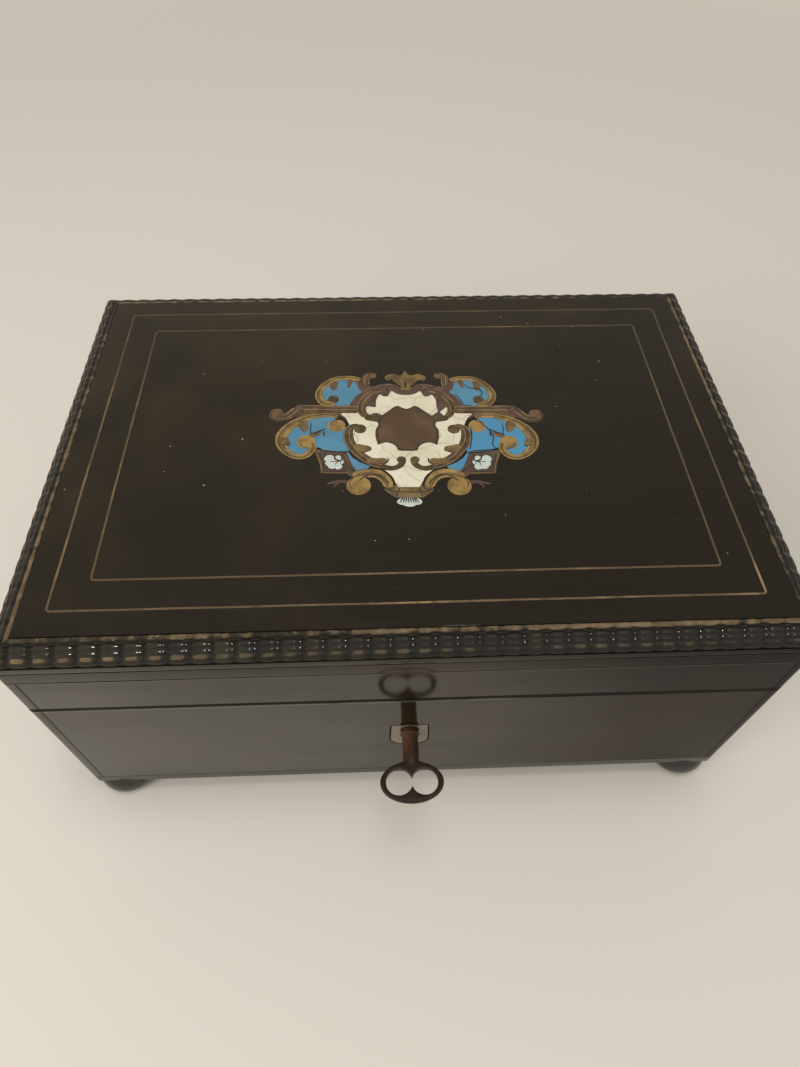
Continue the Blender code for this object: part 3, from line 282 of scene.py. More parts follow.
def makeStudio():
    world = bpy.data.worlds.new("studio")
    scene.world = world
    world.use_nodes = True
    tree = world.node_tree
    tree.nodes.clear()
    sky = blendColour(tree, seenDirectly(tree), studio["ambient"], studio["backdrop"])
    light = tree.nodes.new("ShaderNodeBackground")
    plug(tree, sky, light.inputs["Color"])
    output = tree.nodes.new("ShaderNodeOutputWorld")
    tree.links.new(light.outputs[0], output.inputs["Surface"])

    material, tree, shader = newMaterial("floor_board")
    setShader(shader, Base_Color=studio["floor"], Roughness=0.75)
    away = tree.nodes.new("ShaderNodeVectorMath")
    away.operation = "LENGTH"
    plug(tree, texture(tree), away.inputs[0])
    far = ramp(tree, away.outputs["Value"], *studio["fade"])
    far = times(tree, far, seenDirectly(tree))
    paper = tree.nodes.new("ShaderNodeEmission")
    plug(tree, studio["backdrop"], paper.inputs["Color"])
    mixed = tree.nodes.new("ShaderNodeMixShader")
    tree.links.new(far, mixed.inputs[0])
    tree.links.new(shader.outputs[0], mixed.inputs[1])
    tree.links.new(paper.outputs[0], mixed.inputs[2])
    tree.links.new(mixed.outputs[0], tree.nodes["Material Output"].inputs["Surface"])
    shape = bmesh.new()
    bmesh.ops.create_grid(shape, x_segments=2, y_segments=2, size=studio["floorSize"])
    mesh = bpy.data.meshes.new("floor")
    shape.to_mesh(mesh)
    shape.free()
    mesh.materials.append(material)
    floor = bpy.data.objects.new("floor", mesh)
    scene.collection.objects.link(floor)

    for name, (spot, aim, size, watts, colour, sparkle) in studio["lamps"].items():
        data = bpy.data.lights.new(name, "AREA")
        data.size = size
        data.energy = watts
        data.color = colour
        lamp = bpy.data.objects.new(name, data)
        scene.collection.objects.link(lamp)
        lamp.location = spot
        lamp.rotation_euler = (Vector(aim) - lamp.location).to_track_quat("-Z", "Y").to_euler()
        lamp.visible_glossy = sparkle
        lamp.visible_diffuse = not sparkle
    scene.view_settings.view_transform = "Standard"
    print("studio ready")


# Camera at the photograph's place, with its angles and lens

photoCamera = {"place": (-0.01197, -0.20899, 0.36347), "pitch": 52.98, "yaw": 2.994, "roll": 1.109,
               "focalPixels": 718.08, "framePixels": 1067, "sensor": 36.0}


def makeCamera():
    pitch = math.radians(photoCamera["pitch"])
    level = Matrix(((1, 0, 0), (0, -math.sin(pitch), -math.cos(pitch)),
                    (0, math.cos(pitch), -math.sin(pitch))))
    roll = Matrix.Rotation(math.radians(photoCamera["roll"]), 3, "Z")
    yaw = Matrix.Rotation(math.radians(photoCamera["yaw"]), 3, "Z")
    right, down, ahead = roll @ level @ yaw
    pose = Matrix((right, -down, -ahead)).transposed().to_4x4()
    pose.translation = photoCamera["place"]
    data = bpy.data.cameras.new("photo_camera")
    data.sensor_width = photoCamera["sensor"]
    data.lens = photoCamera["focalPixels"] / photoCamera["framePixels"] * photoCamera["sensor"]
    data.clip_start = 0.01
    camera = bpy.data.objects.new("photo_camera", data)
    scene.collection.objects.link(camera)
    camera.matrix_world = pose
    scene.camera = camera


# Finishes of the case

lacquer = {"black": (0.0092, 0.0068, 0.0040), "brown": (0.0290, 0.0180, 0.0070),
           "pore": (0.014, 0.0105, 0.0075), "scuff": (0.09, 0.075, 0.06), "dust": (0.30, 0.28, 0.24),
           "joint": (0.0018, 0.0015, 0.0013), "worn": (0.155, 0.135, 0.105), "gloss": 0.085,
           "jointWidth": 0.00055, "rim": (0.090, 0.082, 0.066), "undercoat": 0.065,
           "tint": (1.0, 0.90, 0.74, 1.0), "bareWood": ((0.050, 0.030, 0.018), (0.100, 0.060, 0.034))}


def makeLacquer(name, along=0, levels=(), uprights=(), brownness=0.5, polish=(0.70, 0.0), haze=0.06,
                towards=(0.0, 0.0), dusty=0.03):
    material, tree, shader = newMaterial(name)
    spot = texture(tree)
    axes = split(tree, spot)
    sun = calc(tree, "MULTIPLY_ADD", axes[0], towards[0], times(tree, axes[1], towards[1]))
    # where the light has browned it
    sun = calc(tree, "ADD", sun, cloud(tree, spot, 14.0, 3.0, 0.6, 0.4))
    sun = ramp(tree, sun, 0.80 - brownness * 0.8, 1.15 - brownness * 0.6)
    if uprights:
        sun = times(tree, sun, 0.72)
    colour = blendColour(tree, sun, lacquer["black"], lacquer["brown"])
    fibre = (0.06, 1.0, 1.0) if along == 0 else (1.0, 0.06, 1.0)
    grain = cloud(tree, stretch(tree, spot, fibre), 420.0, 4.0)
    colour = blendColour(tree, ramp(tree, grain, 0.52, 0.80), colour, lacquer["pore"])
    if levels:                              # painted shade: the rails darken towards the right end
        colour = blendColour(tree, times(tree, ramp(tree, axes[0], 0.02, 0.13), 0.7), colour,
                             lacquer["joint"])
    joints, rims = 0.0, 0.0
    shrunk = calc(tree, "ADD", times(tree, axes[0], -2.2), cloud(tree, spot, 26.0, 3.0))
    # open more to the left
    shrunk = calc(tree, "MULTIPLY_ADD", ramp(tree, shrunk, 0.35, 0.75), 0.75, 0.25)
    for level in levels:                    # where strips of veneer meet, along the side
        wander = calc(tree, "MULTIPLY_ADD", cloud(tree, spot, 16.0, 2.0), 0.0006, axes[2])
        line = lineAt(tree, wander, level + 0.0003, lacquer["jointWidth"])
        joints = calc(tree, "MAXIMUM", joints, times(tree, line, shrunk))
        # a paler line just below each joint: a painted highlight along the joint's lower edge
        rim = lineAt(tree, wander, level - 0.00035, 0.0005)
        share = 0.55 if level == min(levels) else 0.12
        rims = calc(tree, "MAXIMUM", rims, times(tree, rim, share))
    for reach, low, high in uprights:       # and upright, near the corners
        across = calc(tree, "ABSOLUTE", calc(tree, "SUBTRACT", axes[along], middleY if along else 0.0))
        line = lineAt(tree, across, reach, lacquer["jointWidth"])
        inside = times(tree, calc(tree, "GREATER_THAN", axes[2], low),
                      calc(tree, "LESS_THAN", axes[2], high))
        joints = calc(tree, "MAXIMUM", joints, times(tree, line, inside))
    scuffs = useGroup(tree, scratches, Vector=spot, Scale=60.0)["Mask"]
    drifts = times(tree, ramp(tree, cloud(tree, spot, 13.0, 2.0), 0.36, 0.56), dusty)
    specks = useGroup(tree, dust, Vector=spot, Scale=230.0, Amount=drifts)["Mask"]
    # the walls' top rims, worn paler and more so to the left: wear, and partly a painted highlight along
    # that edge
    wornRimAndHighlight = calc(tree, "MULTIPLY_ADD", axes[0], -2.6, cloud(tree, spot, 55.0, 4.0))
    wornRimAndHighlight = times(tree, attribute(tree, "edge"), ramp(tree, wornRimAndHighlight, 0.34, 0.66))
    paintedShade = attribute(tree, "paintedShade")        # painted shade along the lid's under-edge
    colour = blendColour(tree, times(tree, scuffs, 0.12 if uprights else 0.04), colour, lacquer["scuff"])
    colour = blendColour(tree, rims, colour, lacquer["rim"])
    colour = blendColour(tree, times(tree, wornRimAndHighlight, 0.8), colour, lacquer["worn"])
    colour = blendColour(tree, paintedShade, colour, lacquer["joint"])
    colour = blendColour(tree, times(tree, specks, 0.7), colour, lacquer["dust"])
    colour = blendColour(tree, times(tree, joints, 0.9), colour, lacquer["joint"])
    gloss = calc(tree, "MULTIPLY_ADD", cloud(tree, spot, 22.0, 4.0), 0.10, lacquer["gloss"] - 0.04)
    rough = calc(tree, "MAXIMUM", calc(tree, "MAXIMUM", specks, wornRimAndHighlight), paintedShade)
    gloss = calc(tree, "ADD", gloss, times(tree, rough, 0.35))
    if levels:                              # the strip under the moulding is duller
        gloss = calc(tree, "MULTIPLY_ADD", calc(tree, "GREATER_THAN", axes[2], min(levels)), 0.3, gloss)
    height = calc(tree, "MULTIPLY_ADD", cloud(tree, spot, 45.0, 2.0), 0.8, times(tree, joints, -1.5))
    left, right = polish                    # the polish is worn thinner towards the right end
    film = calc(tree, "ADD", axes[0], calc(tree, "MULTIPLY_ADD", cloud(tree, spot, 9.0, 3.0), 0.08, -0.04))
    worn = ramp(tree, film, -0.03, 0.14)
    if levels:                              # and is thickest at the left end of the lid rails
        left = calc(tree, "MULTIPLY_ADD", ramp(tree, film, -0.07, -0.13), 0.16, left)
    film = calc(tree, "MULTIPLY_ADD", worn, calc(tree, "SUBTRACT", right, left), left)
    streaks = cloud(tree, stretch(tree, spot, (0.35, 0.35, 2.2)), 26.0, 4.0, 0.6)
    film = times(tree, film, calc(tree, "MULTIPLY_ADD", streaks, 0.55, 0.725))
    film = times(tree, film, calc(tree, "SUBTRACT", 1.0, calc(tree, "MAXIMUM", paintedShade, joints)))
    if levels:
        film = times(tree, film, calc(tree, "MULTIPLY_ADD", calc(tree, "LESS_THAN", axes[2], min(levels)),
                                                 0.25, 0.75))
    setShader(shader, Base_Color=colour, Roughness=gloss, Specular_IOR_Level=lacquer["undercoat"],
              Specular_Tint=lacquer["tint"], Coat_Weight=film, Coat_Roughness=haze)
    bump(tree, shader, height, 0.000035)
    return material


def makeBottomWood():
    material, tree, shader = newMaterial("bottom_wood")
    spot = texture(tree)
    under = ramp(tree, times(tree, split(tree, texture(tree, "Normal"))[2], -1.0), 0.4, 0.6)
    grain = cloud(tree, stretch(tree, spot, (4.0, 70.0, 70.0)), 6.0, 5.0, 0.65, 0.5)
    bare = blendColour(tree, ramp(tree, grain, 0.35, 0.65), *lacquer["bareWood"])
    colour = blendColour(tree, under, lacquer["black"], bare)
    setShader(shader, Base_Color=colour, Roughness=calc(tree, "MULTIPLY_ADD", under, 0.5, 0.14))
    bump(tree, shader, times(tree, grain, under), 0.0002)
    return material


rippleLook = {"crest": (0.0100, 0.0086, 0.0064), "faded": (0.022, 0.0175, 0.0110),
              "hollowAndShade": (0.0035, 0.0030, 0.0025), "wood": ((0.095, 0.064, 0.032), (0.185, 0.132, 0.068)),
              "shadedWood": (0.050, 0.037, 0.021), "grime": (0.22, 0.19, 0.14)}


def makeRippleFinish():
    material, tree, shader = newMaterial("ripple_finish")
    spot = texture(tree)
    hollowAndShade = attribute(tree, "hollowAndShade")
    patchy = calc(tree, "MULTIPLY_ADD", cloud(tree, spot, 34.0, 3.0), 1.0,
                  cloud(tree, spot, 420.0, 4.0, 0.7))
    worn = ramp(tree, calc(tree, "ADD", attribute(tree, "wear"), times(tree, patchy, 1.1)), 1.78, 2.10)
    grain = cloud(tree, stretch(tree, spot, (8.0, 8.0, 60.0)), 30.0, 4.0)
    wood = blendColour(tree, ramp(tree, grain, 0.35, 0.7), *rippleLook["wood"])
    axes = split(tree, spot)                # the worn ovals are darker to the right, the ledge isn't
    darker = times(tree, ramp(tree, axes[0], -0.115, -0.06), calc(tree, "LESS_THAN", axes[2], 0.1382))
    wood = blendColour(tree, times(tree, darker, 0.8), wood, rippleLook["shadedWood"])
    pale = calc(tree, "MULTIPLY_ADD", axes[0], -1.3, cloud(tree, spot, 75.0, 3.0))      # paler to the left
    faded = blendColour(tree, ramp(tree, pale, 0.42, 0.66), rippleLook["crest"], rippleLook["faded"])
    # the dark hollow colour: black lacquer kept in the troughs, and painted shade in the troughs, the
    # grooves and under the lip
    colour = blendColour(tree, ramp(tree, hollowAndShade, 0.25, 0.90), faded, rippleLook["hollowAndShade"])
    colour = blendColour(tree, worn, colour, wood)
    grime = useGroup(tree, dust, Vector=spot, Scale=420.0, Amount=0.10)["Mask"]
    colour = blendColour(tree, times(tree, grime, 0.4), colour, rippleLook["grime"])
    dull = calc(tree, "MAXIMUM", worn, calc(tree, "SUBTRACT", 1.0, attribute(tree, "gloss")))
    setShader(shader, Base_Color=colour, Roughness=calc(tree, "MULTIPLY_ADD", dull, 0.45, 0.125),
              Specular_IOR_Level=0.38)
    height = times(tree, cloud(tree, spot, 260.0, 3.0), dull)
    bump(tree, shader, height, 0.00006)
    return material


# Finishes of the metals

def makeMetal(name, bright, dull, amount=0.5, scale=120.0, metallic=0.9, rise=0.0, grit=900.0,
              relief=0.00003):
    material, tree, shader = newMaterial(name)
    spot = texture(tree)
    look = aged(tree, spot, bright, dull, amount, scale)
    setShader(shader, Base_Color=look["Color"], Roughness=calc(tree, "ADD", look["Roughness"], rise),
              Metallic=metallic)
    bump(tree, shader, cloud(tree, spot, grit, 3.0), relief)
    return material


rustLook = {"iron": ((0.012, 0.0095, 0.0075), (0.026, 0.015, 0.009)), "rustAndLitSide": (0.095, 0.044, 0.022),
            "pit": (0.014, 0.009, 0.006)}


def makeRust():
    material, tree, shader = newMaterial("key_iron")
    spot = texture(tree)
    look = aged(tree, spot, *rustLook["iron"], 0.60, 160.0)
    towards = ramp(tree, split(tree, spot)[1], -0.107, -0.096)      # the stem is rustier than the bow
    left = ramp(tree, split(tree, spot)[0], 0.0012, -0.0022)        # and rustiest on its left: rust, and partly a painted lit side
    towards = times(tree, towards, calc(tree, "MULTIPLY_ADD", left, 0.55, 0.35))
    colour = blendColour(tree, towards, look["Color"], rustLook["rustAndLitSide"])
    pits = cloud(tree, spot, 1100.0, 4.0, 0.7)
    colour = blendColour(tree, ramp(tree, pits, 0.54, 0.66), colour, rustLook["pit"])
    setShader(shader, Base_Color=colour, Roughness=calc(tree, "MULTIPLY_ADD", pits, 0.40, 0.18),
              Specular_IOR_Level=0.20)
    bump(tree, shader, pits, 0.00012)
    return material


# Finishes of the inlay

inlayLook = {
    # bright and dull
    "gilt": ((0.42, 0.275, 0.098), (0.215, 0.142, 0.054)),
    "dullGilt": ((0.27, 0.175, 0.072), (0.140, 0.092, 0.040)),
    "vein": ((0.30, 0.205, 0.105), (0.17, 0.115, 0.06)),
    "leaf": ((0.27, 0.180, 0.075), (0.130, 0.090, 0.042)),
    "horn": ((0.150, 0.088, 0.042), (0.072, 0.044, 0.023)),
    "olive": ((0.190, 0.140, 0.065), (0.080, 0.058, 0.030)),
    "keystone": ((0.28, 0.205, 0.092), (0.150, 0.112, 0.050)),
    "medallion": ((0.142, 0.082, 0.043), (0.096, 0.056, 0.030)),
    "frame": ((0.150, 0.092, 0.066), (0.085, 0.052, 0.037)), "framePatch": (0.21, 0.145, 0.085),
    # two tones that drift into each other
    "ivory": ((0.74, 0.685, 0.53), (0.65, 0.59, 0.43)), "crack": (0.28, 0.24, 0.17),
    "blue": ((0.050, 0.193, 0.310), (0.070, 0.235, 0.352)), "freshBlue": (0.044, 0.238, 0.425),
    "blueSpeck": (0.02, 0.10, 0.26),
    "pearl": ((0.42, 0.54, 0.48), (0.55, 0.60, 0.55)), "pearlRose": (0.55, 0.50, 0.50),
    "darkHorn": ((0.040, 0.027, 0.018), (0.062, 0.042, 0.026)),
    "ink": ((0.012, 0.009, 0.007), (0.024, 0.017, 0.012)), "engraved": (0.020, 0.013, 0.008),
}


def makeBandFinish(name, tone, amount=0.55, metallic=0.55):
    return makeMetal(name, *inlayLook[tone], amount, 210.0, metallic, relief=0.000024)


def makeIvory():
    material, tree, shader = newMaterial("ivory_finish")
    spot = texture(tree)
    warp = times(tree, cloud(tree, spot, 90.0, 2.0), 0.006)
    mover = tree.nodes.new("ShaderNodeVectorMath")
    mover.operation = "ADD"
    plug(tree, spot, mover.inputs[0])
    plug(tree, warp, mover.inputs[1])
    warped = mover.outputs[0]
    cracks, fine = (calc(tree, "LESS_THAN", cells(tree, warped, scale, "DISTANCE_TO_EDGE")["Distance"],
                         0.01) for scale in (105.0, 230.0))
    fine = times(tree, fine, ramp(tree, cloud(tree, spot, 75.0), 0.50, 0.60))
    broken = ramp(tree, cloud(tree, spot, 120.0, 2.0), 0.36, 0.50)
    lines = calc(tree, "MAXIMUM", times(tree, cracks, broken), times(tree, fine, 0.6))
    colour = blendColour(tree, ramp(tree, cloud(tree, spot, 60.0, 3.0), 0.35, 0.70), *inlayLook["ivory"])
    colour = blendColour(tree, times(tree, lines, 0.7), colour, inlayLook["crack"])
    setShader(shader, Base_Color=colour, Roughness=0.34)
    bump(tree, shader, times(tree, lines, -1.0), 0.00005)
    return material


def makeBlueHorn():
    material, tree, shader = newMaterial("blue_horn_finish")
    spot = texture(tree)
    streaks = cloud(tree, stretch(tree, spot, (30.0, 90.0, 30.0), 0.5), 2.2, 4.0, 0.6, 0.8)
    colour = blendColour(tree, ramp(tree, streaks, 0.3, 0.7), *inlayLook["blue"])
    axes = split(tree, spot)                # the lower right plate kept more of its blue
    fresher = times(tree, ramp(tree, axes[0], 0.010, 0.030), ramp(tree, axes[1], 0.029, 0.026))
    colour = blendColour(tree, times(tree, fresher, 0.85), colour, inlayLook["freshBlue"])
    dots = useGroup(tree, dust, Vector=spot, Scale=700.0, Amount=0.10)["Mask"]
    colour = blendColour(tree, times(tree, dots, 0.35), colour, inlayLook["blueSpeck"])
    setShader(shader, Base_Color=colour, Roughness=0.24, Coat_Weight=0.4, Coat_Roughness=0.1)
    bump(tree, shader, streaks, 0.00004)
    return material


def makePearl():
    material, tree, shader = newMaterial("pearl_finish")
    spot = texture(tree)
    bands = cloud(tree, stretch(tree, spot, (60.0, 240.0, 60.0), 0.7), 3.0, 3.0, 0.6, 1.2)
    colour = blendColour(tree, ramp(tree, bands, 0.32, 0.5), *inlayLook["pearl"])
    colour = blendColour(tree, ramp(tree, bands, 0.52, 0.68), colour, inlayLook["pearlRose"])
    setShader(shader, Base_Color=colour, Roughness=0.20, Coat_Weight=0.5, Coat_Roughness=0.08)
    return material


def makeSilk(name, light, dark, rib=0.6):
    material, tree, shader = newMaterial(name)
    cloth = useGroup(tree, weave, Vector=texture(tree, "UV"), Rib=rib)
    colour = blendColour(tree, calc(tree, "MULTIPLY_ADD", cloth["Mask"], 0.55, 0.3), dark, light)
    faded = cloud(tree, texture(tree), 9.0, 3.0)
    colour = blendColour(tree, ramp(tree, faded, 0.55, 0.8), colour, tuple(value * 1.35 for value in light))
    setShader(shader, Base_Color=colour, Roughness=calc(tree, "MULTIPLY_ADD", cloth["Mask"], -0.12, 0.52),
              Sheen_Weight=0.35, Sheen_Roughness=0.4)
    bump(tree, shader, cloth["Height"], 0.00012)
    return material


# Mesh helpers

def addPiece(name, shape, material, body, replaced=(), smooth=35, flat=False):
    mesh = bpy.data.meshes.new(name)
    shape.to_mesh(mesh)
    shape.free()
    mesh.materials.append(material)
    mesh.shade_smooth()
    mesh.set_sharp_from_angle(angle=math.radians(smooth))
    piece = bpy.data.objects.new(name, mesh)
    scene.collection.objects.link(piece)
    if flat:                                # broad faces stay flat between their eased rims
        piece.modifiers.new("weighted", "WEIGHTED_NORMAL").keep_sharp = True
    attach(piece, body)
    if replaced:
        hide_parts(*replaced)
    return piece


def finishNode(node, material):             # a CAD piece that stays, in its better finish
    piece = nodes[node]
    if not piece.material_slots:
        piece.data.materials.append(material)
    for place in piece.material_slots:
        place.material = material


def mergedCopy(node):
    shape = bmesh.new()
    shape.from_mesh(nodes[node].data)
    bmesh.ops.remove_doubles(shape, verts=shape.verts, dist=0.002 * mm)
    return shape


def easeEdges(shape, edges, width, segments=2):
    bmesh.ops.bevel(shape, geom=edges, offset=width, offset_type="OFFSET", segments=segments, profile=0.5,
                    affect="EDGES", clamp_overlap=True, material=-1)


def closeUp(shape, distance=0.0005 * mm):
    bmesh.ops.remove_doubles(shape, verts=shape.verts, dist=distance)
    bmesh.ops.holes_fill(shape, edges=[edge for edge in shape.edges if edge.is_boundary], sides=0)
    bmesh.ops.recalc_face_normals(shape, faces=shape.faces)


def cutAcross(shape, place, normal, **options):
    return bmesh.ops.bisect_plane(shape, geom=shape.verts[:] + shape.edges[:] + shape.faces[:],
                                  plane_co=place, plane_no=normal, **options)


def spinProfile(shape, points, steps, centre=(0, 0, 0), axis=(0, 0, 1)):     # a turned form
    ring = [shape.verts.new(point) for point in points]
    edges = [shape.edges.new(pair) for pair in zip(ring, ring[1:])]
    bmesh.ops.spin(shape, geom=ring + edges, angle=math.tau, steps=steps, axis=axis, cent=centre,
                   use_merge=True)


def uvLayer(shape):
    return shape.loops.layers.uv.get("UVMap") or shape.loops.layers.uv.new("UVMap")


def mapFromAbove(shape):                    # UV: across and along, in millimetres
    layer = uvLayer(shape)
    for face in shape.faces:
        for loop in face.loops:
            loop[layer].uv = loop.vert.co.xy / mm


def smoothThrough(points, spacing, closed=False):   # a round curve through the points, evenly spaced
    count = len(points)
    vectors = [Vector(point) for point in points]
    fine = []
    for index in range(count if closed else count - 1):
        if closed:
            near = [vectors[(index + step) % count] for step in (-1, 0, 1, 2)]
        else:
            near = [vectors[min(max(index + step, 0), count - 1)] for step in (-1, 0, 1, 2)]
        before, start, end, after = near
        for step in range(12):
            t = step / 12
            bend = (2 * before - 5 * start + 4 * end - after) * t * t
            twist = (3 * start - before - 3 * end + after) * t ** 3
            fine.append(0.5 * (2 * start + (end - before) * t + bend + twist))
    fine.append(fine[0].copy() if closed else vectors[-1])
    lengths = [0.0]
    for first, second in zip(fine, fine[1:]):
        lengths.append(lengths[-1] + (second.xy - first.xy).length)
    steps = max(4, round(lengths[-1] / spacing))
    even, index = [], 0
    for step in range(steps if closed else steps + 1):
        wanted = lengths[-1] * step / steps
        while index < len(fine) - 2 and lengths[index + 1] < wanted:
            index += 1
        span = lengths[index + 1] - lengths[index] or 1.0
        even.append(fine[index].lerp(fine[index + 1], (wanted - lengths[index]) / span))
    return even


def ribbon(path, low, high, crown, rows=5, closed=False, rounded=True, shape=None):
    # a flat strip of metal along (x, y, width) points, a little crowned; UV: along and across
    shape = shape or bmesh.new()
    layer = uvLayer(shape)
    around = rows + 2                       # the top rows and both bottom edges, then back to the first
    along = len(path) if closed else len(path) - 1
    made = bmesh.ops.create_grid(shape, x_segments=along, y_segments=around, size=0.5)["verts"]
    lengths = [0.0]
    for first, second in zip(path, path[1:] + path[:1]):
        lengths.append(lengths[-1] + (second.xy - first.xy).length)
    spots = {}
    for vertex in made:
        step = round((vertex.co.x + 0.5) * along)
        row = round((vertex.co.y + 0.5) * around) % around
        index = step % len(path)
        before = path[index - 1] if closed else path[max(index - 1, 0)]
        after = path[(index + 1) % len(path)] if closed else path[min(index + 1, len(path) - 1)]
        heading = (after.xy - before.xy).normalized()
        side = Vector((-heading.y, heading.x))
        half = path[index].z / 2
        if rounded and not closed:          # ends drawn in to a round tip
            near = min(lengths[index], lengths[along] - lengths[index])
            half *= math.sqrt(max(0.03, 1 - max(0.0, 1 - near / max(half, 1e-6)) ** 2))
        if row < rows:
            across = row / (rows - 1)
            height = high + crown * (1 - (2 * across - 1) ** 2)
        else:
            across = 1.0 if row == rows else 0.0
            height = low
        spot = path[index].xy + side * half * (2 * across - 1)
        vertex.co = (*spot, height)
        spots[vertex] = (lengths[step] / mm, across)
    for vertex, spot in spots.items():
        for loop in vertex.link_loops:
            loop[layer].uv = spot
    return shape


def flatPlate(outline, low, high, ease=0.0, shape=None):    # a sawn plate with this outline
    shape = shape or bmesh.new()
    face = shape.faces.new([shape.verts.new((point[0], point[1], low)) for point in outline])
    if face.calc_area() and face.normal.z < 0:
        face.normal_flip()
    raised = bmesh.ops.extrude_face_region(shape, geom=[face])["geom"]
    tops = [item for item in raised if isinstance(item, bmesh.types.BMVert)]
    bmesh.ops.translate(shape, verts=tops, vec=(0, 0, high - low))
    if ease:
        rims = {edge for vertex in tops for edge in vertex.link_edges if edge.other_vert(vertex) in tops}
        easeEdges(shape, list(rims), ease, 1)
    mapFromAbove(shape)
    return shape


# Case: the CAD boards, merged, with eased rims

caseLook = {"rimEase": 0.35, "seamEase": 1.35, "jointLevels": (121.0, 128.2), "jointInset": 5.4,
            "grooveHalf": 0.32, "grooveDepth": 0.24, "outsideFrom": 4.9,
            # painted shade along the lid's under-edge, the worn rims with a painted highlight, and cuts that
            # keep them narrow
            "shadeHeight": 2.2, "shadeCuts": (2.15, 2.45), "rimWearAndHighlightHeight": 1.0, "rimWearAndHighlightCut": 1.1}


def onOutside(point):
    beyond = caseLook["outsideFrom"] * mm
    return abs(point.x) > boardHigh.x + beyond or abs(point.y - middleY) > boardHigh.y - middleY + beyond


def cutGroove(shape, axis, place, reach, inward):
    # a fine V along a joint of the veneers: three cuts, the middle one pressed in
    half, normal = caseLook["grooveHalf"] * mm, Vector((0, 0, 0))
    normal[axis] = 1
    for offset in (-half, 0, half):
        cutAcross(shape, normal * (place + offset), normal)
    for vertex in shape.verts:
        along = abs(vertex.co[axis] - place) < 0.004 * mm
        if along and onOutside(vertex.co) and reach[0] < vertex.co.z < reach[1]:
            vertex.co += inward * caseLook["grooveDepth"] * mm


def makeBoard(node, body, material, levels=(), uprights=()):
    low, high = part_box(node)
    shape = mergedCopy(node)
    rail = node.endswith("lid_rail")
    for corner, width in ((low, caseLook["seamEase" if rail else "rimEase"]), (high, caseLook["rimEase"])):
        rims = [edge for edge in shape.edges
                if all(abs(vertex.co.z - corner.z) < 0.01 * mm and onOutside(vertex.co)
                       for vertex in edge.verts)
                and edge.is_manifold and edge.calc_face_angle() > 0.7]
        easeEdges(shape, rims, width * mm)
    inward = Vector((0, middleY, 0)) - (low + high) / 2
    inward.z = 0
    inward.normalize()
    for level in levels:
        cutGroove(shape, 2, level, (0, 1), inward)
    for axis, place, start, end in uprights:
        cutGroove(shape, axis, place, (start, end), inward)
    for level in (*(low.z + cut * mm for cut in caseLook["shadeCuts"]), high.z - caseLook["rimWearAndHighlightCut"] * mm):
        cutAcross(shape, (0, 0, level), (0, 0, 1))
    # layers for the walls' worn top rims, partly a painted highlight, and for painted shade along the rails'
    # under-edge
    layer, under = shape.verts.layers.float.new("edge"), shape.verts.layers.float.new("paintedShade")
    for vertex in shape.verts:
        if onOutside(vertex.co):
            vertex[layer] = 0.0 if rail else float(high.z - vertex.co.z < caseLook["rimWearAndHighlightHeight"] * mm)
            vertex[under] = float(rail and vertex.co.z - low.z < caseLook["shadeHeight"] * mm)
    return addPiece(node + "_board", shape, material, body, (node,), flat=True)


def makeCase():
    levels = [level * mm for level in caseLook["jointLevels"]]
    low, seam = (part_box(node)[0].z for node in ("front_wall", "front_lid_rail"))
    for along, name, sides in ((0, "long", ("front", "back")), (1, "short", ("left", "right"))):
        reach = caseHalf[along] - caseLook["jointInset"] * mm
        for part, body, bands in (("wall", "base", ()), ("lid_rail", "lid", levels)):
            uprights = ((reach, low, seam),) if part == "wall" else ((reach, seam, levels[0]),)
            material = makeLacquer(f"lacquer_{name}_{part}", along, bands, uprights, 0.62,
                                   haze=0.13 if bands else 0.06)
            for side in sides:
                cuts = [(along, (middleY if along else 0) + sign * reach, start - 1 * mm, end - 0.3 * mm)
                        for reach, start, end in uprights for sign in (-1, 1)]
                makeBoard(f"{side}_{part}", body, material, bands, cuts)
    shape = mergedCopy("bottom_board")
    rims = [edge for edge in shape.edges if edge.is_manifold and edge.calc_face_angle() > 0.7
            and all(onOutside(vertex.co) for vertex in edge.verts)
            and abs(edge.verts[0].co.z - edge.verts[1].co.z) < 0.01 * mm]
    easeEdges(shape, rims, caseLook["rimEase"] * mm)
    addPiece("bottom_board_panel", shape, makeBottomWood(), "base", ("bottom_board",),
             flat=True)
    print("case: walls, rails and bottom ready")


# Top panel

topLook = {"ease": 0.3, "inset": 1.0}


def makeTopPanel():
    shape = bmesh.new()
    bmesh.ops.create_cube(shape, size=1)
    size = boardHigh - boardLow
    size.x -= 2 * topLook["inset"] * mm
    size.y -= 2 * topLook["inset"] * mm
    bmesh.ops.scale(shape, verts=shape.verts, vec=size)
    bmesh.ops.translate(shape, verts=shape.verts, vec=(boardHigh + boardLow) / 2)
    rims = [edge for edge in shape.edges if all(abs(vertex.co.z - top) < 0.01 * mm for vertex in edge.verts)]
    easeEdges(shape, rims, topLook["ease"] * mm, 3)
    addPiece("top_panel", shape, makeLacquer("lacquer_top", 0, (), (), 0.42, (0.48, 0.38),
                                              towards=(-0.9, 1.5), dusty=0.17), "lid",
             ("top_board",), flat=True)
    print("top panel ready")


# Ripple mouldings

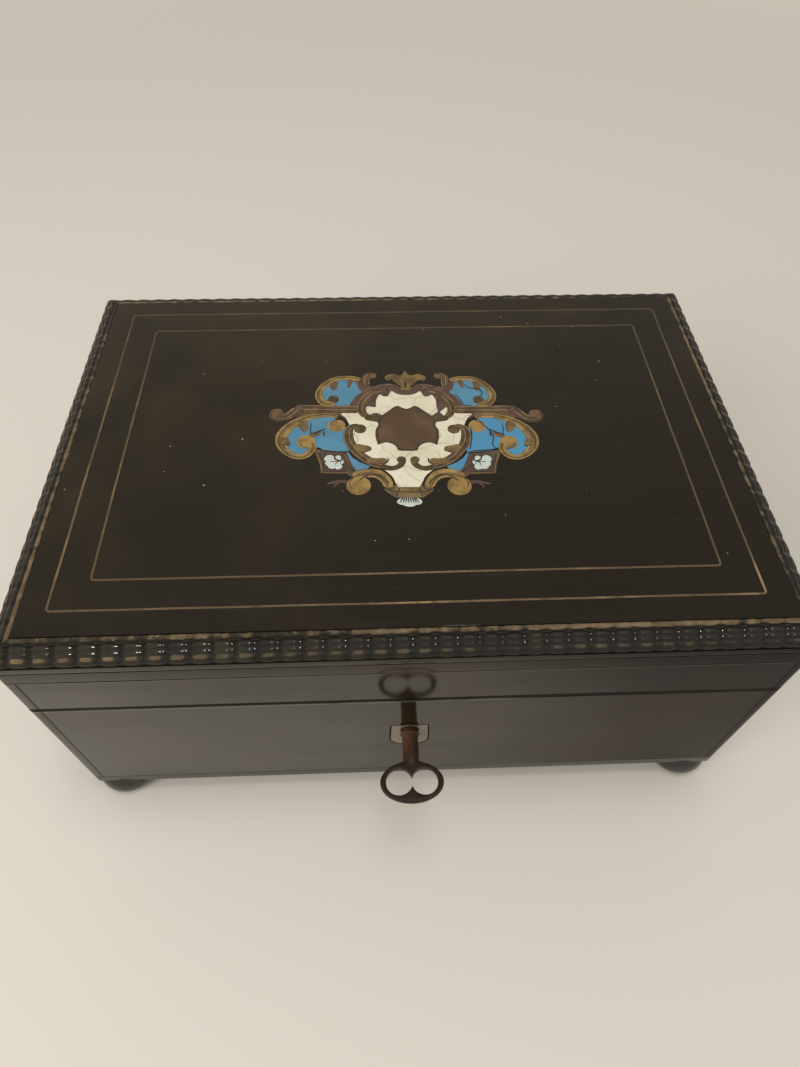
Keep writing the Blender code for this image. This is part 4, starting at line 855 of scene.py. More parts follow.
ripple = {
    "width": 7.5, "pitch": 7.85, "depth": 0.74, "samplesPerWave": 22, "spacing": 0.34, "trough": 1.9,
    "overhang": 0.45, "beyond": 1.5, "wobble": 0.10,
    "worn": {"left": 0.42, "back": 0.35, "right": 0.75},      # share of the depth left on the other sides
    "ledgeWear": (0.74, 1.16), "lipWear": (1.25, 0.72),     # at the left and the right end
    # share of the width out, share of the height up, share of the ripple, of the wear, and of the black:
    # black lacquer, with painted shade in the grooves and under the lip
    "profile": (
        (-0.125, 0.93, 0.0, 0.0, 1.0), (-0.09, 0.965, 0.0, 0.9, 0.8), (0.00, 0.975, 0.0, 1.05, 0.0),
        (0.07, 0.965, 0.1, 0.95, 0.0), (0.12, 0.93, 0.3, 0.95, 0.0), (0.15, 0.875, 0.55, 0.6, 0.3),
        (0.175, 0.84, 0.7, 0.1, 0.6), (0.215, 0.85, 0.85, 0.1, 0.3), (0.265, 0.885, 1.0, 0.2, 0.0),
        (0.32, 0.895, 1.0, 0.3, 0.0), (0.38, 0.873, 1.0, 0.3, 0.0), (0.44, 0.846, 1.0, 0.25, 0.0),
        (0.475, 0.805, 1.0, 0.1, 0.2), (0.495, 0.76, 0.88, 0.05, 0.5), (0.525, 0.745, 0.88, 0.1, 0.3),
        (0.57, 0.75, 1.0, 0.3, 0.0), (0.62, 0.733, 1.0, 0.35, 0.0), (0.68, 0.705, 1.0, 0.35, 0.0),
        (0.715, 0.655, 1.0, 0.3, 0.1), (0.735, 0.60, 0.9, 0.6, 0.1), (0.77, 0.575, 0.75, 0.95, 0.0),
        (0.83, 0.545, 0.65, 1.0, 0.0), (0.89, 0.50, 0.62, 0.9, 0.0), (0.93, 0.44, 0.7, 0.3, 0.3),
        (0.95, 0.40, 0.8, 0.1, 0.3), (0.98, 0.375, 0.85, 0.1, 0.0), (1.00, 0.335, 0.85, 0.1, 0.0),
        (1.00, 0.27, 0.85, 0.1, 0.4), (0.97, 0.205, 0.7, 0.15, 0.75), (0.93, 0.16, 0.55, 0.1, 0.9),
        (0.885, 0.13, 0.5, 0.0, 1.0), (0.90, 0.085, 0.45, 0.0, 1.0), (0.925, 0.045, 0.45, 0.0, 1.0),
        (0.905, 0.00, 0.4, 0.0, 1.0), (0.45, 0.00, 0.2, 0.0, 1.0), (-0.125, 0.00, 0.0, 0.0, 1.0),
    ),
}


def makeRipple(side, turns):
    # built as the front one about the middle of the box, then turned to its side
    halfLength = caseHalf[turns % 2]
    distance = caseHalf[1 - turns % 2] - ripple["width"] * mm
    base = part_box("front_ripple_moulding")[0].z
    width = (ripple["width"] + ripple["overhang"]) * mm
    height = top - base
    shown, hidden = ripple["profile"][:-2], ripple["profile"][-2:]
    drawn = [smoothThrough([(out * width, up * height, rest[index]) for out, up, *rest in shown],
                           ripple["spacing"] * mm) for index in range(3)]
    profile = [(first.x, first.y, first.z, max(0.0, second.z), min(1.0, max(0.0, third.z)))
               for first, second, third in zip(*drawn)]
    profile += [(out * width, up * height, *rest) for out, up, *rest in hidden]
    waves = round(2 * halfLength / (ripple["pitch"] * mm))
    columns = waves * ripple["samplesPerWave"]
    rows = len(profile)
    shape = bmesh.new()
    bmesh.ops.create_grid(shape, x_segments=columns, y_segments=rows, size=0.5)
    layer, black, shine = (shape.verts.layers.float.new(name) for name in ("wear", "hollowAndShade", "gloss"))
    reach = halfLength + ripple["beyond"] * mm
    depth = ripple["depth"] * mm * ripple["worn"].get(side, 1.0)
    for vertex in shape.verts:
        column = round((vertex.co.x + 0.5) * columns)
        row = round((vertex.co.y + 0.5) * rows) % rows
        out, up, share, wear, dark = profile[row]
        before, after = profile[row - 1], profile[(row + 1) % rows]
        lean = Vector((before[1] - after[1], after[0] - before[0])).normalized()
        along = (2 * column / columns - 1) * reach
        phase = waves * (along / (2 * halfLength) + 0.5)
        crest = 1 - (0.5 + 0.5 * math.cos(math.tau * phase)) ** ripple["trough"]
        wobble = noise.noise(Vector((along * 40, turns * 7.0, out * 250))) * ripple["wobble"] * mm
        drop = (crest - 1) * depth * share + wobble * share
        vertex.co = (along, -(distance + out + lean.x * drop), base + up + lean.y * drop)
        left, right = ripple["ledgeWear"] if share < 0.6 else ripple["lipWear"]
        fade = left + (right - left) * (0.5 + 0.5 * along / reach)
        vertex[layer] = wear * fade * (0.1 + 0.9 * crest if share >= 0.6 else 0.8 + 0.2 * crest)
        # darker in the troughs, and in the grooves and under the lip: black lacquer and painted shade
        vertex[black] = max(dark, (1 - crest) * min(1.0, share * 1.1) if share > 0.6 else 0.0)
        polished = min(1.0, max(0.0, (share - 0.92) / 0.08))        # the beads' hollow flanks stay glossy
        vertex[shine] = polished * min(1.0, (1 - crest) * 6)
    closeUp(shape)
    corner = Vector((halfLength - ripple["width"] * mm, -distance, 0))
    for mirrored in (1, -1):
        cut = cutAcross(shape, (corner.x * mirrored, corner.y, 0), (mirrored, 1, 0), clear_outer=True)
        rim = [item for item in cut["geom_cut"] if isinstance(item, bmesh.types.BMEdge)]
        bmesh.ops.contextual_create(shape, geom=rim)
    bmesh.ops.recalc_face_normals(shape, faces=shape.faces)
    turn = Matrix.Translation((0, middleY, 0)) @ Matrix.Rotation(turns * math.pi / 2, 4, "Z")
    bmesh.ops.transform(shape, matrix=turn, verts=shape.verts)
    addPiece(side + "_ripple", shape, rippleFinish, "lid",
             (side + "_ripple_moulding",), 60)


# Brass lines of the top

lineLook = {"insets": (("outer_brass_line", 18.7), ("inner_brass_line", 31.7)), "width": 0.82,
            "corner": 1.4, "wander": 0.16, "proud": 0.02, "depth": 0.8, "bright": (0.43, 0.285, 0.145),
            "dull": (0.155, 0.105, 0.062), "dirtAndShade": (0.085, 0.060, 0.040)}


def makeLines():
    material = makeLineBrass()
    for name, inset in lineLook["insets"]:
        halfX, halfY = (half - inset * mm for half in caseHalf)
        corner = lineLook["corner"] * mm
        path = []
        for sideX, sideY, start in ((1, -1, -90), (1, 1, 0), (-1, 1, 90), (-1, -1, 180)):
            for step in range(7):
                angle = math.radians(start + 15 * step)
                path.append(Vector((sideX * (halfX - corner) + corner * math.cos(angle),
                                    middleY + sideY * (halfY - corner) + corner * math.sin(angle), 0)))
        full = []
        for first, second in zip(path, path[1:] + path[:1]):
            pieces = max(1, round((second - first).length / (2.0 * mm)))
            full += [first.lerp(second, step / pieces) for step in range(pieces)]
        for point in full:
            drift = noise.noise(Vector((point.x * 38, point.y * 38, inset)))
            widen = noise.noise(Vector((point.x * 90, point.y * 90, inset + 5)))
            outward = point - Vector((0, middleY, 0))
            if abs(outward.x) / halfX > abs(outward.y) / halfY:
                point.x += lineLook["wander"] * mm * drift
            else:
                point.y += lineLook["wander"] * mm * drift
            point.z = lineLook["width"] * mm * (1 + 0.16 * widen)
        shape = ribbon(full, top - lineLook["depth"] * mm, top + lineLook["proud"] * mm, 0.02 * mm, 3, True)
        closeUp(shape)
        addPiece(name + "_strip", shape, material, "lid", (name,))
    print("brass lines ready")


def makeLineBrass():
    material, tree, shader = newMaterial("line_brass")
    spot = texture(tree)
    look = aged(tree, spot, lineLook["bright"], lineLook["dull"], 0.62, 38.0)
    dirtAndShade = ramp(tree, cloud(tree, spot, 150.0, 3.0), 0.56, 0.70)
    paintedHighlightFront = ramp(tree, split(tree, spot)[1], -0.050, -0.066)        # painted highlight: the front lines are kept bright, the others are darkened
    dirtAndShade = calc(tree, "MAXIMUM", dirtAndShade, calc(tree, "MULTIPLY_ADD", paintedHighlightFront, -0.62, 0.62))
    back = ramp(tree, split(tree, spot)[1], 0.02, 0.075)            # and the back ones darkest: painted shade
    dirtAndShade = calc(tree, "MAXIMUM", dirtAndShade, times(tree, back, 0.95))
    colour = blendColour(tree, times(tree, dirtAndShade, 0.7), look["Color"], lineLook["dirtAndShade"])
    setShader(shader, Base_Color=colour, Roughness=look["Roughness"], Metallic=0.55)
    bump(tree, shader, cloud(tree, spot, 600.0, 3.0), 0.00003)
    return material


# Feet

footLook = {"profile": ((0.0, 0.0), (0.55, 0.0), (0.72, 0.02), (0.86, 0.09), (0.955, 0.21), (0.995, 0.34),
                        (1.0, 0.46), (0.975, 0.60), (0.90, 0.73), (0.79, 0.82), (0.685, 0.875),
                        (0.655, 0.91), (0.665, 0.95), (0.66, 0.985), (0.0, 0.985)), "steps": 56,
            "black": (0.0065, 0.0055, 0.0050), "worn": (0.055, 0.036, 0.022)}


def makeFeet():
    material = makeFootFinish()
    for node in [name for name in nodes if name.endswith("_foot")]:
        low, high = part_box(node)
        radius = (high.x - low.x) / 2
        tall = boardBottom - low.z
        shape = bmesh.new()
        spinProfile(shape, [(share * radius, 0, up * tall) for share, up in footLook["profile"]],
                    footLook["steps"])
        closeUp(shape)
        bmesh.ops.translate(shape, verts=shape.verts,
                            vec=((low.x + high.x) / 2, (low.y + high.y) / 2, low.z))
        addPiece(node.replace("_foot", "_bun"), shape, material, "base", (node,), 50)
    print("feet ready")


def makeFootFinish():
    material, tree, shader = newMaterial("foot_finish")
    spot = texture(tree)
    worn = ramp(tree, cloud(tree, spot, 130.0, 4.0), 0.60, 0.72)
    low = calc(tree, "SUBTRACT", 1.0, ramp(tree, split(tree, spot)[2], 0.0005, 0.003))
    worn = calc(tree, "MAXIMUM", times(tree, worn, 0.35), low)
    colour = blendColour(tree, worn, footLook["black"], footLook["worn"])
    setShader(shader, Base_Color=colour, Roughness=calc(tree, "MULTIPLY_ADD", worn, 0.3, 0.15),
              Coat_Weight=0.8, Coat_Roughness=0.08)
    bump(tree, shader, cloud(tree, spot, 400.0, 3.0), 0.00005)
    return material


makeCamera()
makeStudio()
makeCase()
makeTopPanel()
rippleFinish = makeRippleFinish()
for turns, side in enumerate(("front", "right", "back", "left")):
    makeRipple(side, turns)
print("ripple mouldings ready")
makeLines()
makeFeet()


# Cartouche of the lid: plates sawn to shape, and bands of metal over them
# Points of one half, in millimetres: across from the middle line, up along it, and a band's width

cartouche = {
    "shift": 1.5, "turn": -1.6, "lean": 0.0117, "leanFrom": 41.0, "depth": 0.7,
    "levels": {"horn": 0.020, "plate": 0.040, "dark": 0.048, "medallion": 0.056, "low": 0.064,
               "band": 0.076, "scroll": 0.092, "ink": 0.118},
    "crown": 0.045, "inkCrown": 0.008,
}

hornPlates = {
    "frame": (
        (0, 28.6), (2.4, 29.4), (4.2, 31.1), (6.4, 32.0), (9.0, 32.1), (12.0, 31.4), (14.4, 30.3),
        (16.4, 30.2), (20.4, 33.0), (26.0, 34.0), (27.0, 26.0), (30.0, 17.6), (38.5, 17.5), (46.5, 17.7),
        (48.8, 17.7), (50.0, 16.0), (50.0, 10.0), (46.0, 9.6), (38.0, 10.6), (30.0, 10.6), (24.0, 7.0),
        (14.0, 5.0), (0, 10.0),
    ),
}
lozenge = {
    "plate": ((26.1, -11.4), (31.0, -11.3), (37.0, -10.4), (39.2, -9.8), (39.4, -12.2), (38.0, -16.0),
              (37.0, -19.5), (36.5, -23.4), (25.8, -23.7), (23.8, -25.2), (21.4, -24.9), (20.6, -23.8),
              (22.4, -21.0), (24.6, -16.0)),
    "field": ((28.2, -13.0), (35.4, -12.4), (35.2, -16.0), (34.3, -21.6), (25.8, -21.8), (27.2, -17.0)),
}
bluePlates = {
    "upper": ((20.0, 26.4), (21.7, 28.6), (22.2, 30.6), (22.4, 33.0), (25.0, 34.6), (30.0, 34.6),
              (34.4, 32.6), (37.4, 29.4), (38.6, 25.4), (37.6, 21.4), (34.6, 19.2), (30.8, 17.3),
              (26.0, 17.2), (25.0, 19.0), (23.8, 21.6), (22.0, 24.2)),
    "lower": ((27.0, -10.9), (33.0, -10.8), (36.2, -10.0), (38.4, -8.6), (42.0, -10.4), (44.6, -13.4),
              (49.4, -13.8), (53.4, -10.4), (54.6, -5.0), (53.0, 1.4), (50.0, 5.4), (46.0, 8.6),
              (40.0, 10.4), (34.0, 10.6), (29.0, 6.0), (26.6, 2.4), (27.0, -3.0), (26.4, -7.0),
              (25.0, -10.4)),
    "sliver": ((25.6, -11.1), (23.4, -14.6), (20.4, -17.2), (16.0, -19.4), (18.4, -22.4), (21.6, -22.0),
               (23.3, -19.4), (24.9, -15.2), (25.9, -12.2)),
}
ivoryPlates = {
    "field": ((0, -31.2), (3.6, -31.1), (4.8, -30.0), (5.6, -28.4), (6.4, -26.0), (7.5, -24.2),
              (9.4, -22.2), (12.0, -19.6), (17.5, -17.0), (22.4, -12.0), (25.4, -6.0), (25.8, 0.0),
              (25.2, 4.4), (26.2, 7.4), (27.2, 9.6), (28.7, 11.2), (28.8, 12.3), (22.4, 12.5), (21.4, 13.4),
              (20.7, 14.2), (20.1, 12.4), (19.2, 10.2), (17.6, 8.4), (15.6, 7.4), (13.2, 6.8), (10.0, 5.0),
              (0, 0)),
    "crest": ((0, 24.3), (3.0, 24.7), (4.9, 25.7), (6.4, 26.9), (7.4, 25.5), (8.0, 23.8), (9.4, 23.3),
              (10.5, 23.6), (11.4, 24.5), (12.3, 24.1), (13.1, 22.3), (13.6, 20.2), (13.6, 17.6)),
    "crestRight": ((13.9, 15.0), (13.9, 13.3), (12.8, 12.4), (11.0, 10.8), (8.0, 10.0), (0, 10.0)),
    "crestLeft": ((13.8, 16.4), (15.5, 16.4), (17.3, 16.8), (18.1, 15.4), (17.6, 12.9), (16.4, 11.5),
                  (15.0, 12.3), (13.4, 12.6), (12.0, 12.1), (10.4, 10.8), (8.0, 10.0), (0, 10.0)),
    "chipRight": ((18.6, 16.5), (17.2, 15.7), (15.2, 13.5), (15.2, 12.8), (16.0, 11.8), (16.8, 10.4),
                  (17.7, 12.0), (18.6, 14.4)),
}
medallionPlate = ((0, 15.3), (1.6, 15.9), (3.7, 17.2), (5.6, 16.3), (7.8, 14.2), (10.6, 11.5), (12.2, 9.8),
                  (12.9, 8.0), (12.8, 6.2), (12.7, 4.4), (13.6, 2.8), (13.9, 0.2), (13.8, -2.5),
                  (13.3, -5.0), (12.7, -7.1), (11.4, -6.3), (9.0, -5.7), (6.8, -6.4), (5.2, -7.8),
                  (4.5, -9.3), (4.1, -10.3), (3.0, -10.6), (0, -10.7))
finialPlate = ((0, 41.2), (0.9, 39.4), (1.8, 38.0), (3.4, 37.9), (5.6, 38.9), (8.0, 38.1), (9.5, 36.7),
               (9.2, 35.0), (8.0, 34.2), (6.4, 34.8), (5.0, 33.3), (3.8, 31.7), (2.6, 30.9), (2.1, 29.6),
               (2.5, 28.2), (0, 27.6))
keystonePlate = ((0, -30.9), (4.2, -30.9), (5.3, -29.9), (8.6, -31.0), (10.3, -32.0), (9.8, -33.0),
                 (7.8, -34.8), (6.0, -36.1), (5.4, -36.5), (0, -36.5))
shellPlate = ((0, -36.6), (2.6, -36.6), (4.0, -37.2), (5.0, -38.3), (4.9, -39.4), (3.8, -40.2),
              (2.7, -40.3), (1.7, -41.0), (0, -41.3))
flowerPetals = ((33.2, -15.2, 2.2), (33.4, -17.9, 1.5), (31.9, -19.0, 2.0), (29.4, -19.6, 1.7),
                (28.6, -17.0, 1.5), (29.6, -14.6, 1.3), (31.2, -16.8, 1.9))

bands = {
    "gilt": (                               # big C scrolls with a light rim
        ((20.6, 34.4, 2.8), (24, 35.5, 2.8), (28, 35.9, 2.9), (32, 35.0, 3.2), (35.6, 32.5, 3.4),
         (38.2, 29.2, 3.4), (39.5, 25.6, 3.5), (39.2, 22.2, 3.7), (37.4, 19.4, 4.0), (34.6, 18.4, 3.8),
         (32.4, 19.6, 3.0)),
        ((30.4, 9.8, 2.2), (34, 11.0, 2.6), (38, 11.0, 3.0), (42, 10.0, 3.5), (45.8, 8.3, 4.1),
         (49.4, 5.9, 4.5),
         (52.4, 2.5, 5.0), (54.2, -1.6, 5.5), (54.4, -5.6, 5.2), (53.2, -9.2, 4.2), (50.4, -12.4, 3.4),
         (46.6, -14.2, 2.8), (43.2, -13.3, 3.2), (41.2, -10.8, 3.4), (40.7, -8.0, 3.4), (41.6, -5.6, 3.0)),
        ((23.2, -25.4, 3.6), (19.8, -23.7, 4.6), (16.0, -23.2, 4.9), (12.6, -24.0, 5.0), (10.2, -26.2, 4.8),
         (8.8, -28.8, 4.6), (8.4, -31.4, 4.6)),
    ),
    "veined": (                             # narrower brown bands with several engraved lines
        ((20.8, 4.2, 2.2), (23.2, 4.3, 2.8), (25.3, 2.3, 3.8), (25.7, -1.2, 4.5), (25.0, -5.0, 4.5),
         (23.3, -8.8, 4.3), (21.0, -12.2, 4.1), (18.0, -15.2, 4.2), (14.4, -17.6, 4.2), (10.6, -19.6, 3.2)),
        ((21.6, 15.0, 4.5), (30, 15.0, 4.6), (40, 15.1, 4.8), (47.4, 15.2, 5.0)),
        ((48.6, 15.6, 4.6), (50.2, 12.7, 4.8), (52.6, 10.1, 4.5), (55.4, 9.0, 4.5), (57.9, 9.4, 4.5),
         (59.0, 11.4, 4.0), (57.8, 13.0, 3.4)),
        ((13.6, 27.0, 2.0), (16.6, 24.4, 3.4), (19.0, 20.6, 4.2), (20.2, 16.6, 4.0), (19.8, 12.8, 3.4),
         (17.8, 10.0, 3.4)),
        ((18.3, 30.2, 4.0), (18.4, 33.4, 3.6), (18.3, 36.2, 3.6), (16.8, 38.0, 3.4), (15.0, 37.6, 2.8),
         (14.0, 36.7, 2.0)),
    ),
    "olive": (                              # scroll ends gone green
        ((11.6, -19.2, 3.0), (8.4, -20.5, 2.8), (5.4, -20.3, 2.6), (3.2, -18.6, 2.8), (2.4, -16.2, 3.0),
         (3.2, -14.8, 2.8)),
        ((18.4, 10.4, 3.4), (16.4, 9.2, 3.4), (14.2, 9.2, 3.2), (12.4, 10.4, 2.2)),
    ),
    "leaf": (                               # plain gilt leaves on the bands
        ((46.4, 8.4, 5.2), (45.7, 5.2, 4.8), (44.9, 2.6, 3.4), (44.1, 0.9, 1.6)),
        ((54.0, -2.6, 3.0), (52.6, -5.2, 3.8), (51.4, -6.3, 2.6), (50.0, -6.8, 1.2)),
        ((23.4, -8.0, 4.6), (20.6, -9.1, 4.6), (17.6, -9.2, 3.3), (15.5, -9.0, 2.0)),
        ((17.6, -16.0, 4.0), (13.6, -16.9, 3.8), (10.6, -16.3, 3.4), (9.1, -15.5, 2.2)),
    ),
    "tooth": (                              # brown teeth that reach into the blue
        ((33.2, 35.0, 4.4), (33.0, 31.0, 3.6), (32.9, 28.6, 2.8), (33.0, 27.3, 1.4)),
        ((25.2, 35.4, 3.6), (25.8, 32.0, 2.2), (26.1, 30.0, 1.4), (26.2, 28.9, 0.7)),
        ((22.6, 34.6, 2.6), (22.4, 32.8, 1.4), (22.2, 32.0, 0.6)),
        ((42.6, -2.4, 2.2), (40.4, -1.2, 2.6), (38.6, -0.2, 2.2), (37.6, 0.6, 1.0)),
    ),
}
bandTwigs = (((25.2, -28.2, 2.0), (28.5, -27.9, 1.5), (31.0, -28.4, 1.2), (33.8, -29.1, 0.7)),
             ((28.6, -28.5, 1.2), (30.1, -29.5, 1.0), (30.9, -31.1, 0.7)))
# across, up, radius, start of the curl in degrees, turns of the curl (its sign is its sense)
scrollDiscs = {
    "gilt": ((30.9, 4.5, 3.8, 100, -0.55), (43.7, -5.4, 3.95, 250, 0.5), (20.7, -30.2, 5.0, 65, -0.45)),
    "olive": ((32.8, 21.3, 2.55, 260, -0.5), (20.5, 2.5, 2.75, 80, 0.5), (2.9, -15.7, 1.95, 200, -0.45)),
    "horn": ((57.7, 12.0, 3.0, 300, 0.5), (15.2, 37.4, 1.9, 20, 0.4)),
}
inkStrokes = (                              # engraved strokes filled with black
    ((8.2, -29.2, 0.5), (9.8, -26.6, 0.6), (12.6, -24.5, 0.6), (15.8, -24.2, 0.6), (18.4, -25.4, 0.6),
     (20.6, -27.6, 0.5), (22.6, -29.0, 0.35)),
    ((3.9, -31.1, 0.4), (4.6, -33.6, 0.45), (5.5, -36.4, 0.4)),
    ((5.4, -31.0, 0.35), (8.0, -32.2, 0.35), (10.2, -32.2, 0.3)), ((0, -33.6, 0.5), (4.4, -33.6, 0.45)),
    ((4.8, -33.4, 0.3), (7.4, -33.0, 0.35), (9.0, -31.4, 0.3)),
    ((35.4, 2.7, 0.3), (37.4, 1.6, 0.7), (39.6, 0.2, 0.9), (42.4, -0.7, 0.5)),
    ((36.4, 1.2, 0.6), (36.2, -0.6, 0.7), (36.4, -2.0, 0.5)),
    ((42.0, 6.6, 0.25), (42.3, 3.0, 0.45), (41.8, -0.6, 0.4)),
    ((50.0, -7.2, 0.3), (51.6, -7.4, 0.5), (53.6, -6.7, 0.5)),
    ((53.4, -7.0, 0.4), (52.6, -8.8, 0.5), (51.2, -10.4, 0.3)),
    ((47.6, 5.4, 0.3), (46.4, 4.0, 0.5), (45.8, 3.6, 0.25)),
    ((8.7, -14.6, 0.4), (8.5, -16.4, 0.6), (9.6, -17.8, 0.7), (11.0, -18.2, 0.3)),
    ((15.3, -9.9, 0.3), (17.2, -10.9, 0.5), (19.4, -11.6, 0.6)),
    ((27.4, -16.2, 0.5), (28.9, -16.3, 0.6), (30.6, -15.6, 0.8), (31.4, -13.9, 0.5)),
    ((29.0, -16.4, 0.4), (31.2, -16.9, 0.45), (33.0, -16.7, 0.25)),
    ((28.9, -16.5, 0.4), (30.2, -17.6, 0.4), (30.8, -19.0, 0.2)),
    ((28.8, -16.4, 0.4), (28.4, -17.6, 0.3), (28.6, -18.4, 0.2)),
    ((21.6, 18.6, 0.3), (20.9, 15.6, 0.4), (21.5, 14.0, 0.3)),
    ((14.2, 19.2, 0.3), (14.4, 21.0, 0.4), (14.2, 22.8, 0.25)),
    ((8.3, 26.4, 0.3), (8.6, 28.0, 0.4), (9.6, 28.6, 0.3)),
    ((17.4, 32.4, 0.3), (17.2, 34.0, 0.35), (17.3, 35.6, 0.25)),
    ((46.6, 17.0, 0.35), (46.0, 14.8, 0.4), (46.8, 12.6, 0.35)),
    ((26.2, -11.4, 0.5), (31, -11.2, 0.6), (37.2, -10.3, 0.5)),
    ((22.4, -22.6, 0.5), (25.4, -19.0, 0.45), (27.0, -14.2, 0.4), (27.4, -12.4, 0.3)),
    ((25.2, -22.6, 0.35), (30, -22.4, 0.4), (35.4, -22.4, 0.35)),
    ((35.2, -21.8, 0.35), (36.0, -17.0, 0.4), (37.6, -12.4, 0.35)),
    ((0, 33.4, 0.7), (0.3, 31.4, 0.5), (0, 29.0, 0.4)),
)
lightStrokes = (                            # brighter lines on the brown plates
    ((6.0, 31.2, 0.4), (9.4, 31.2, 0.5), (12.6, 30.4, 0.4)),
    ((25.0, -23.1, 0.4), (30.0, -23.0, 0.5), (36.2, -22.8, 0.4)),
    ((36.2, -22.6, 0.5), (36.8, -18.6, 0.5), (38.4, -13.6, 0.5), (39.0, -11.0, 0.4)),
    ((23.6, -21.4, 0.4), (26.0, -17.0, 0.5), (27.0, -12.6, 0.4)),
    ((10.6, 27.0, 0.9), (13.0, 26.2, 1.0), (15.2, 24.6, 0.6)),
    ((29.4, 12.0, 0.3), (33.0, 12.7, 0.5), (38.0, 12.9, 0.5), (42.0, 12.6, 0.5), (46.0, 11.2, 0.4)),
)
gapStrokes = (                              # open joints round the plates of the right half
    ((27.9, 4.0, 0.3), (28.1, 0, 0.55), (27.7, -4.0, 0.5), (26.7, -9.6, 0.55)),
    ((31.6, 8.2, 0.2), (33.4, 5.6, 0.4), (35.9, 2.2, 0.55), (37.4, -2.2, 0.6), (36.6, -6.6, 0.5),
     (37.8, -9.0, 0.4)),
    ((26.9, 32.0, 0.3), (28.6, 29.8, 0.5), (31.4, 28.9, 0.5), (33.8, 28.6, 0.6), (35.0, 25.6, 0.5),
     (33.4, 23.2, 0.4)),
    ((22.3, 25.4, 0.3), (24.6, 21.4, 0.5), (26.0, 17.9, 0.45), (29.4, 17.8, 0.35)),
    ((27.0, -10.6, 0.45), (32.4, -10.2, 0.6), (37.2, -9.4, 0.45)),
)
shellFlutes = (-3.6, -2.5, -1.5, -0.5, 0.5, 1.5, 2.4, 3.3)


def onLid(across, up, side):
    turn = math.radians(cartouche["turn"])
    across = side * across + cartouche["lean"] * (cartouche["leanFrom"] - up)
    return Vector(((cartouche["shift"] + across * math.cos(turn) - up * math.sin(turn)) * mm,
                   (across * math.sin(turn) + up * math.cos(turn)) * mm + middleY))


def level(name):
    return top + cartouche["levels"][name] * mm


def plateOn(shape, points, height, side, rounded=True, ease=0.05):
    outline = [Vector((*onLid(across, up, side), 0)) for across, up in points]
    if rounded:
        outline = smoothThrough(outline, 0.45 * mm, True)
    return flatPlate(outline, top - cartouche["depth"] * mm, height, ease * mm, shape)


def wholePlate(shape, right, height, left=None, rounded=True):
    # both halves of a plate that crosses the middle line
    points = [onLid(across, up, 1) for across, up in right]
    points += [onLid(across, up, -1) for across, up in reversed(left or right) if across]
    outline = [Vector((*point, 0)) for point in points]
    if rounded:
        outline = smoothThrough(outline, 0.45 * mm, True)
    return flatPlate(outline, top - cartouche["depth"] * mm, height, 0.05 * mm, shape)


def bandOn(shape, points, height, side, crown=None, rows=7):
    path = [Vector((*onLid(across, up, side), width * mm)) for across, up, width in points]
    crown = cartouche["crown"] if crown is None else crown
    layer = uvLayer(shape)
    old = set(shape.faces)
    ribbon(smoothThrough(path, 0.5 * mm), top - cartouche["depth"] * mm, height, crown * mm, rows,
           shape=shape)
    if side < 0:                            # the mirrored band keeps its light rim on the outer edge
        for face in shape.faces:
            if face not in old:
                for loop in face.loops:
                    loop[layer].uv.y = 1 - loop[layer].uv.y


def discOn(shape, across, up, radius, height, side, steps=30):
    # a low turned button; UV: round the rim and from the middle out
    layer = uvLayer(shape)
    crown = cartouche["crown"] * mm
    profile = ((0, crown), (0.35, crown * 0.95), (0.65, crown * 0.75), (0.88, crown * 0.3), (0.97, 0),
               (1.0, -0.03 * mm), (1.0, -cartouche["depth"] * mm), (0, -cartouche["depth"] * mm))
    centre = onLid(across, up, side)
    points = [(centre.x + share * radius * mm, centre.y, height + rise) for share, rise in profile]
    before = set(shape.faces)
    spinProfile(shape, points, steps, (*centre, 0))
    for face in shape.faces:
        if face not in before:
            for loop in face.loops:
                away = (loop.vert.co.xy - centre).length / (radius * mm)
                loop[layer].uv = (0, 0.5 + 0.5 * away)


def curl(across, up, radius, start, turns):
    steps = 14
    points = []
    for step in range(steps + 1):
        share = step / steps
        angle = math.radians(start) + math.tau * turns * share
        reach = radius * (0.97 - 0.62 * share)
        points.append((across + reach * math.cos(angle), up + reach * math.sin(angle),
                       0.42 * (1 - 0.5 * share)))
    return points


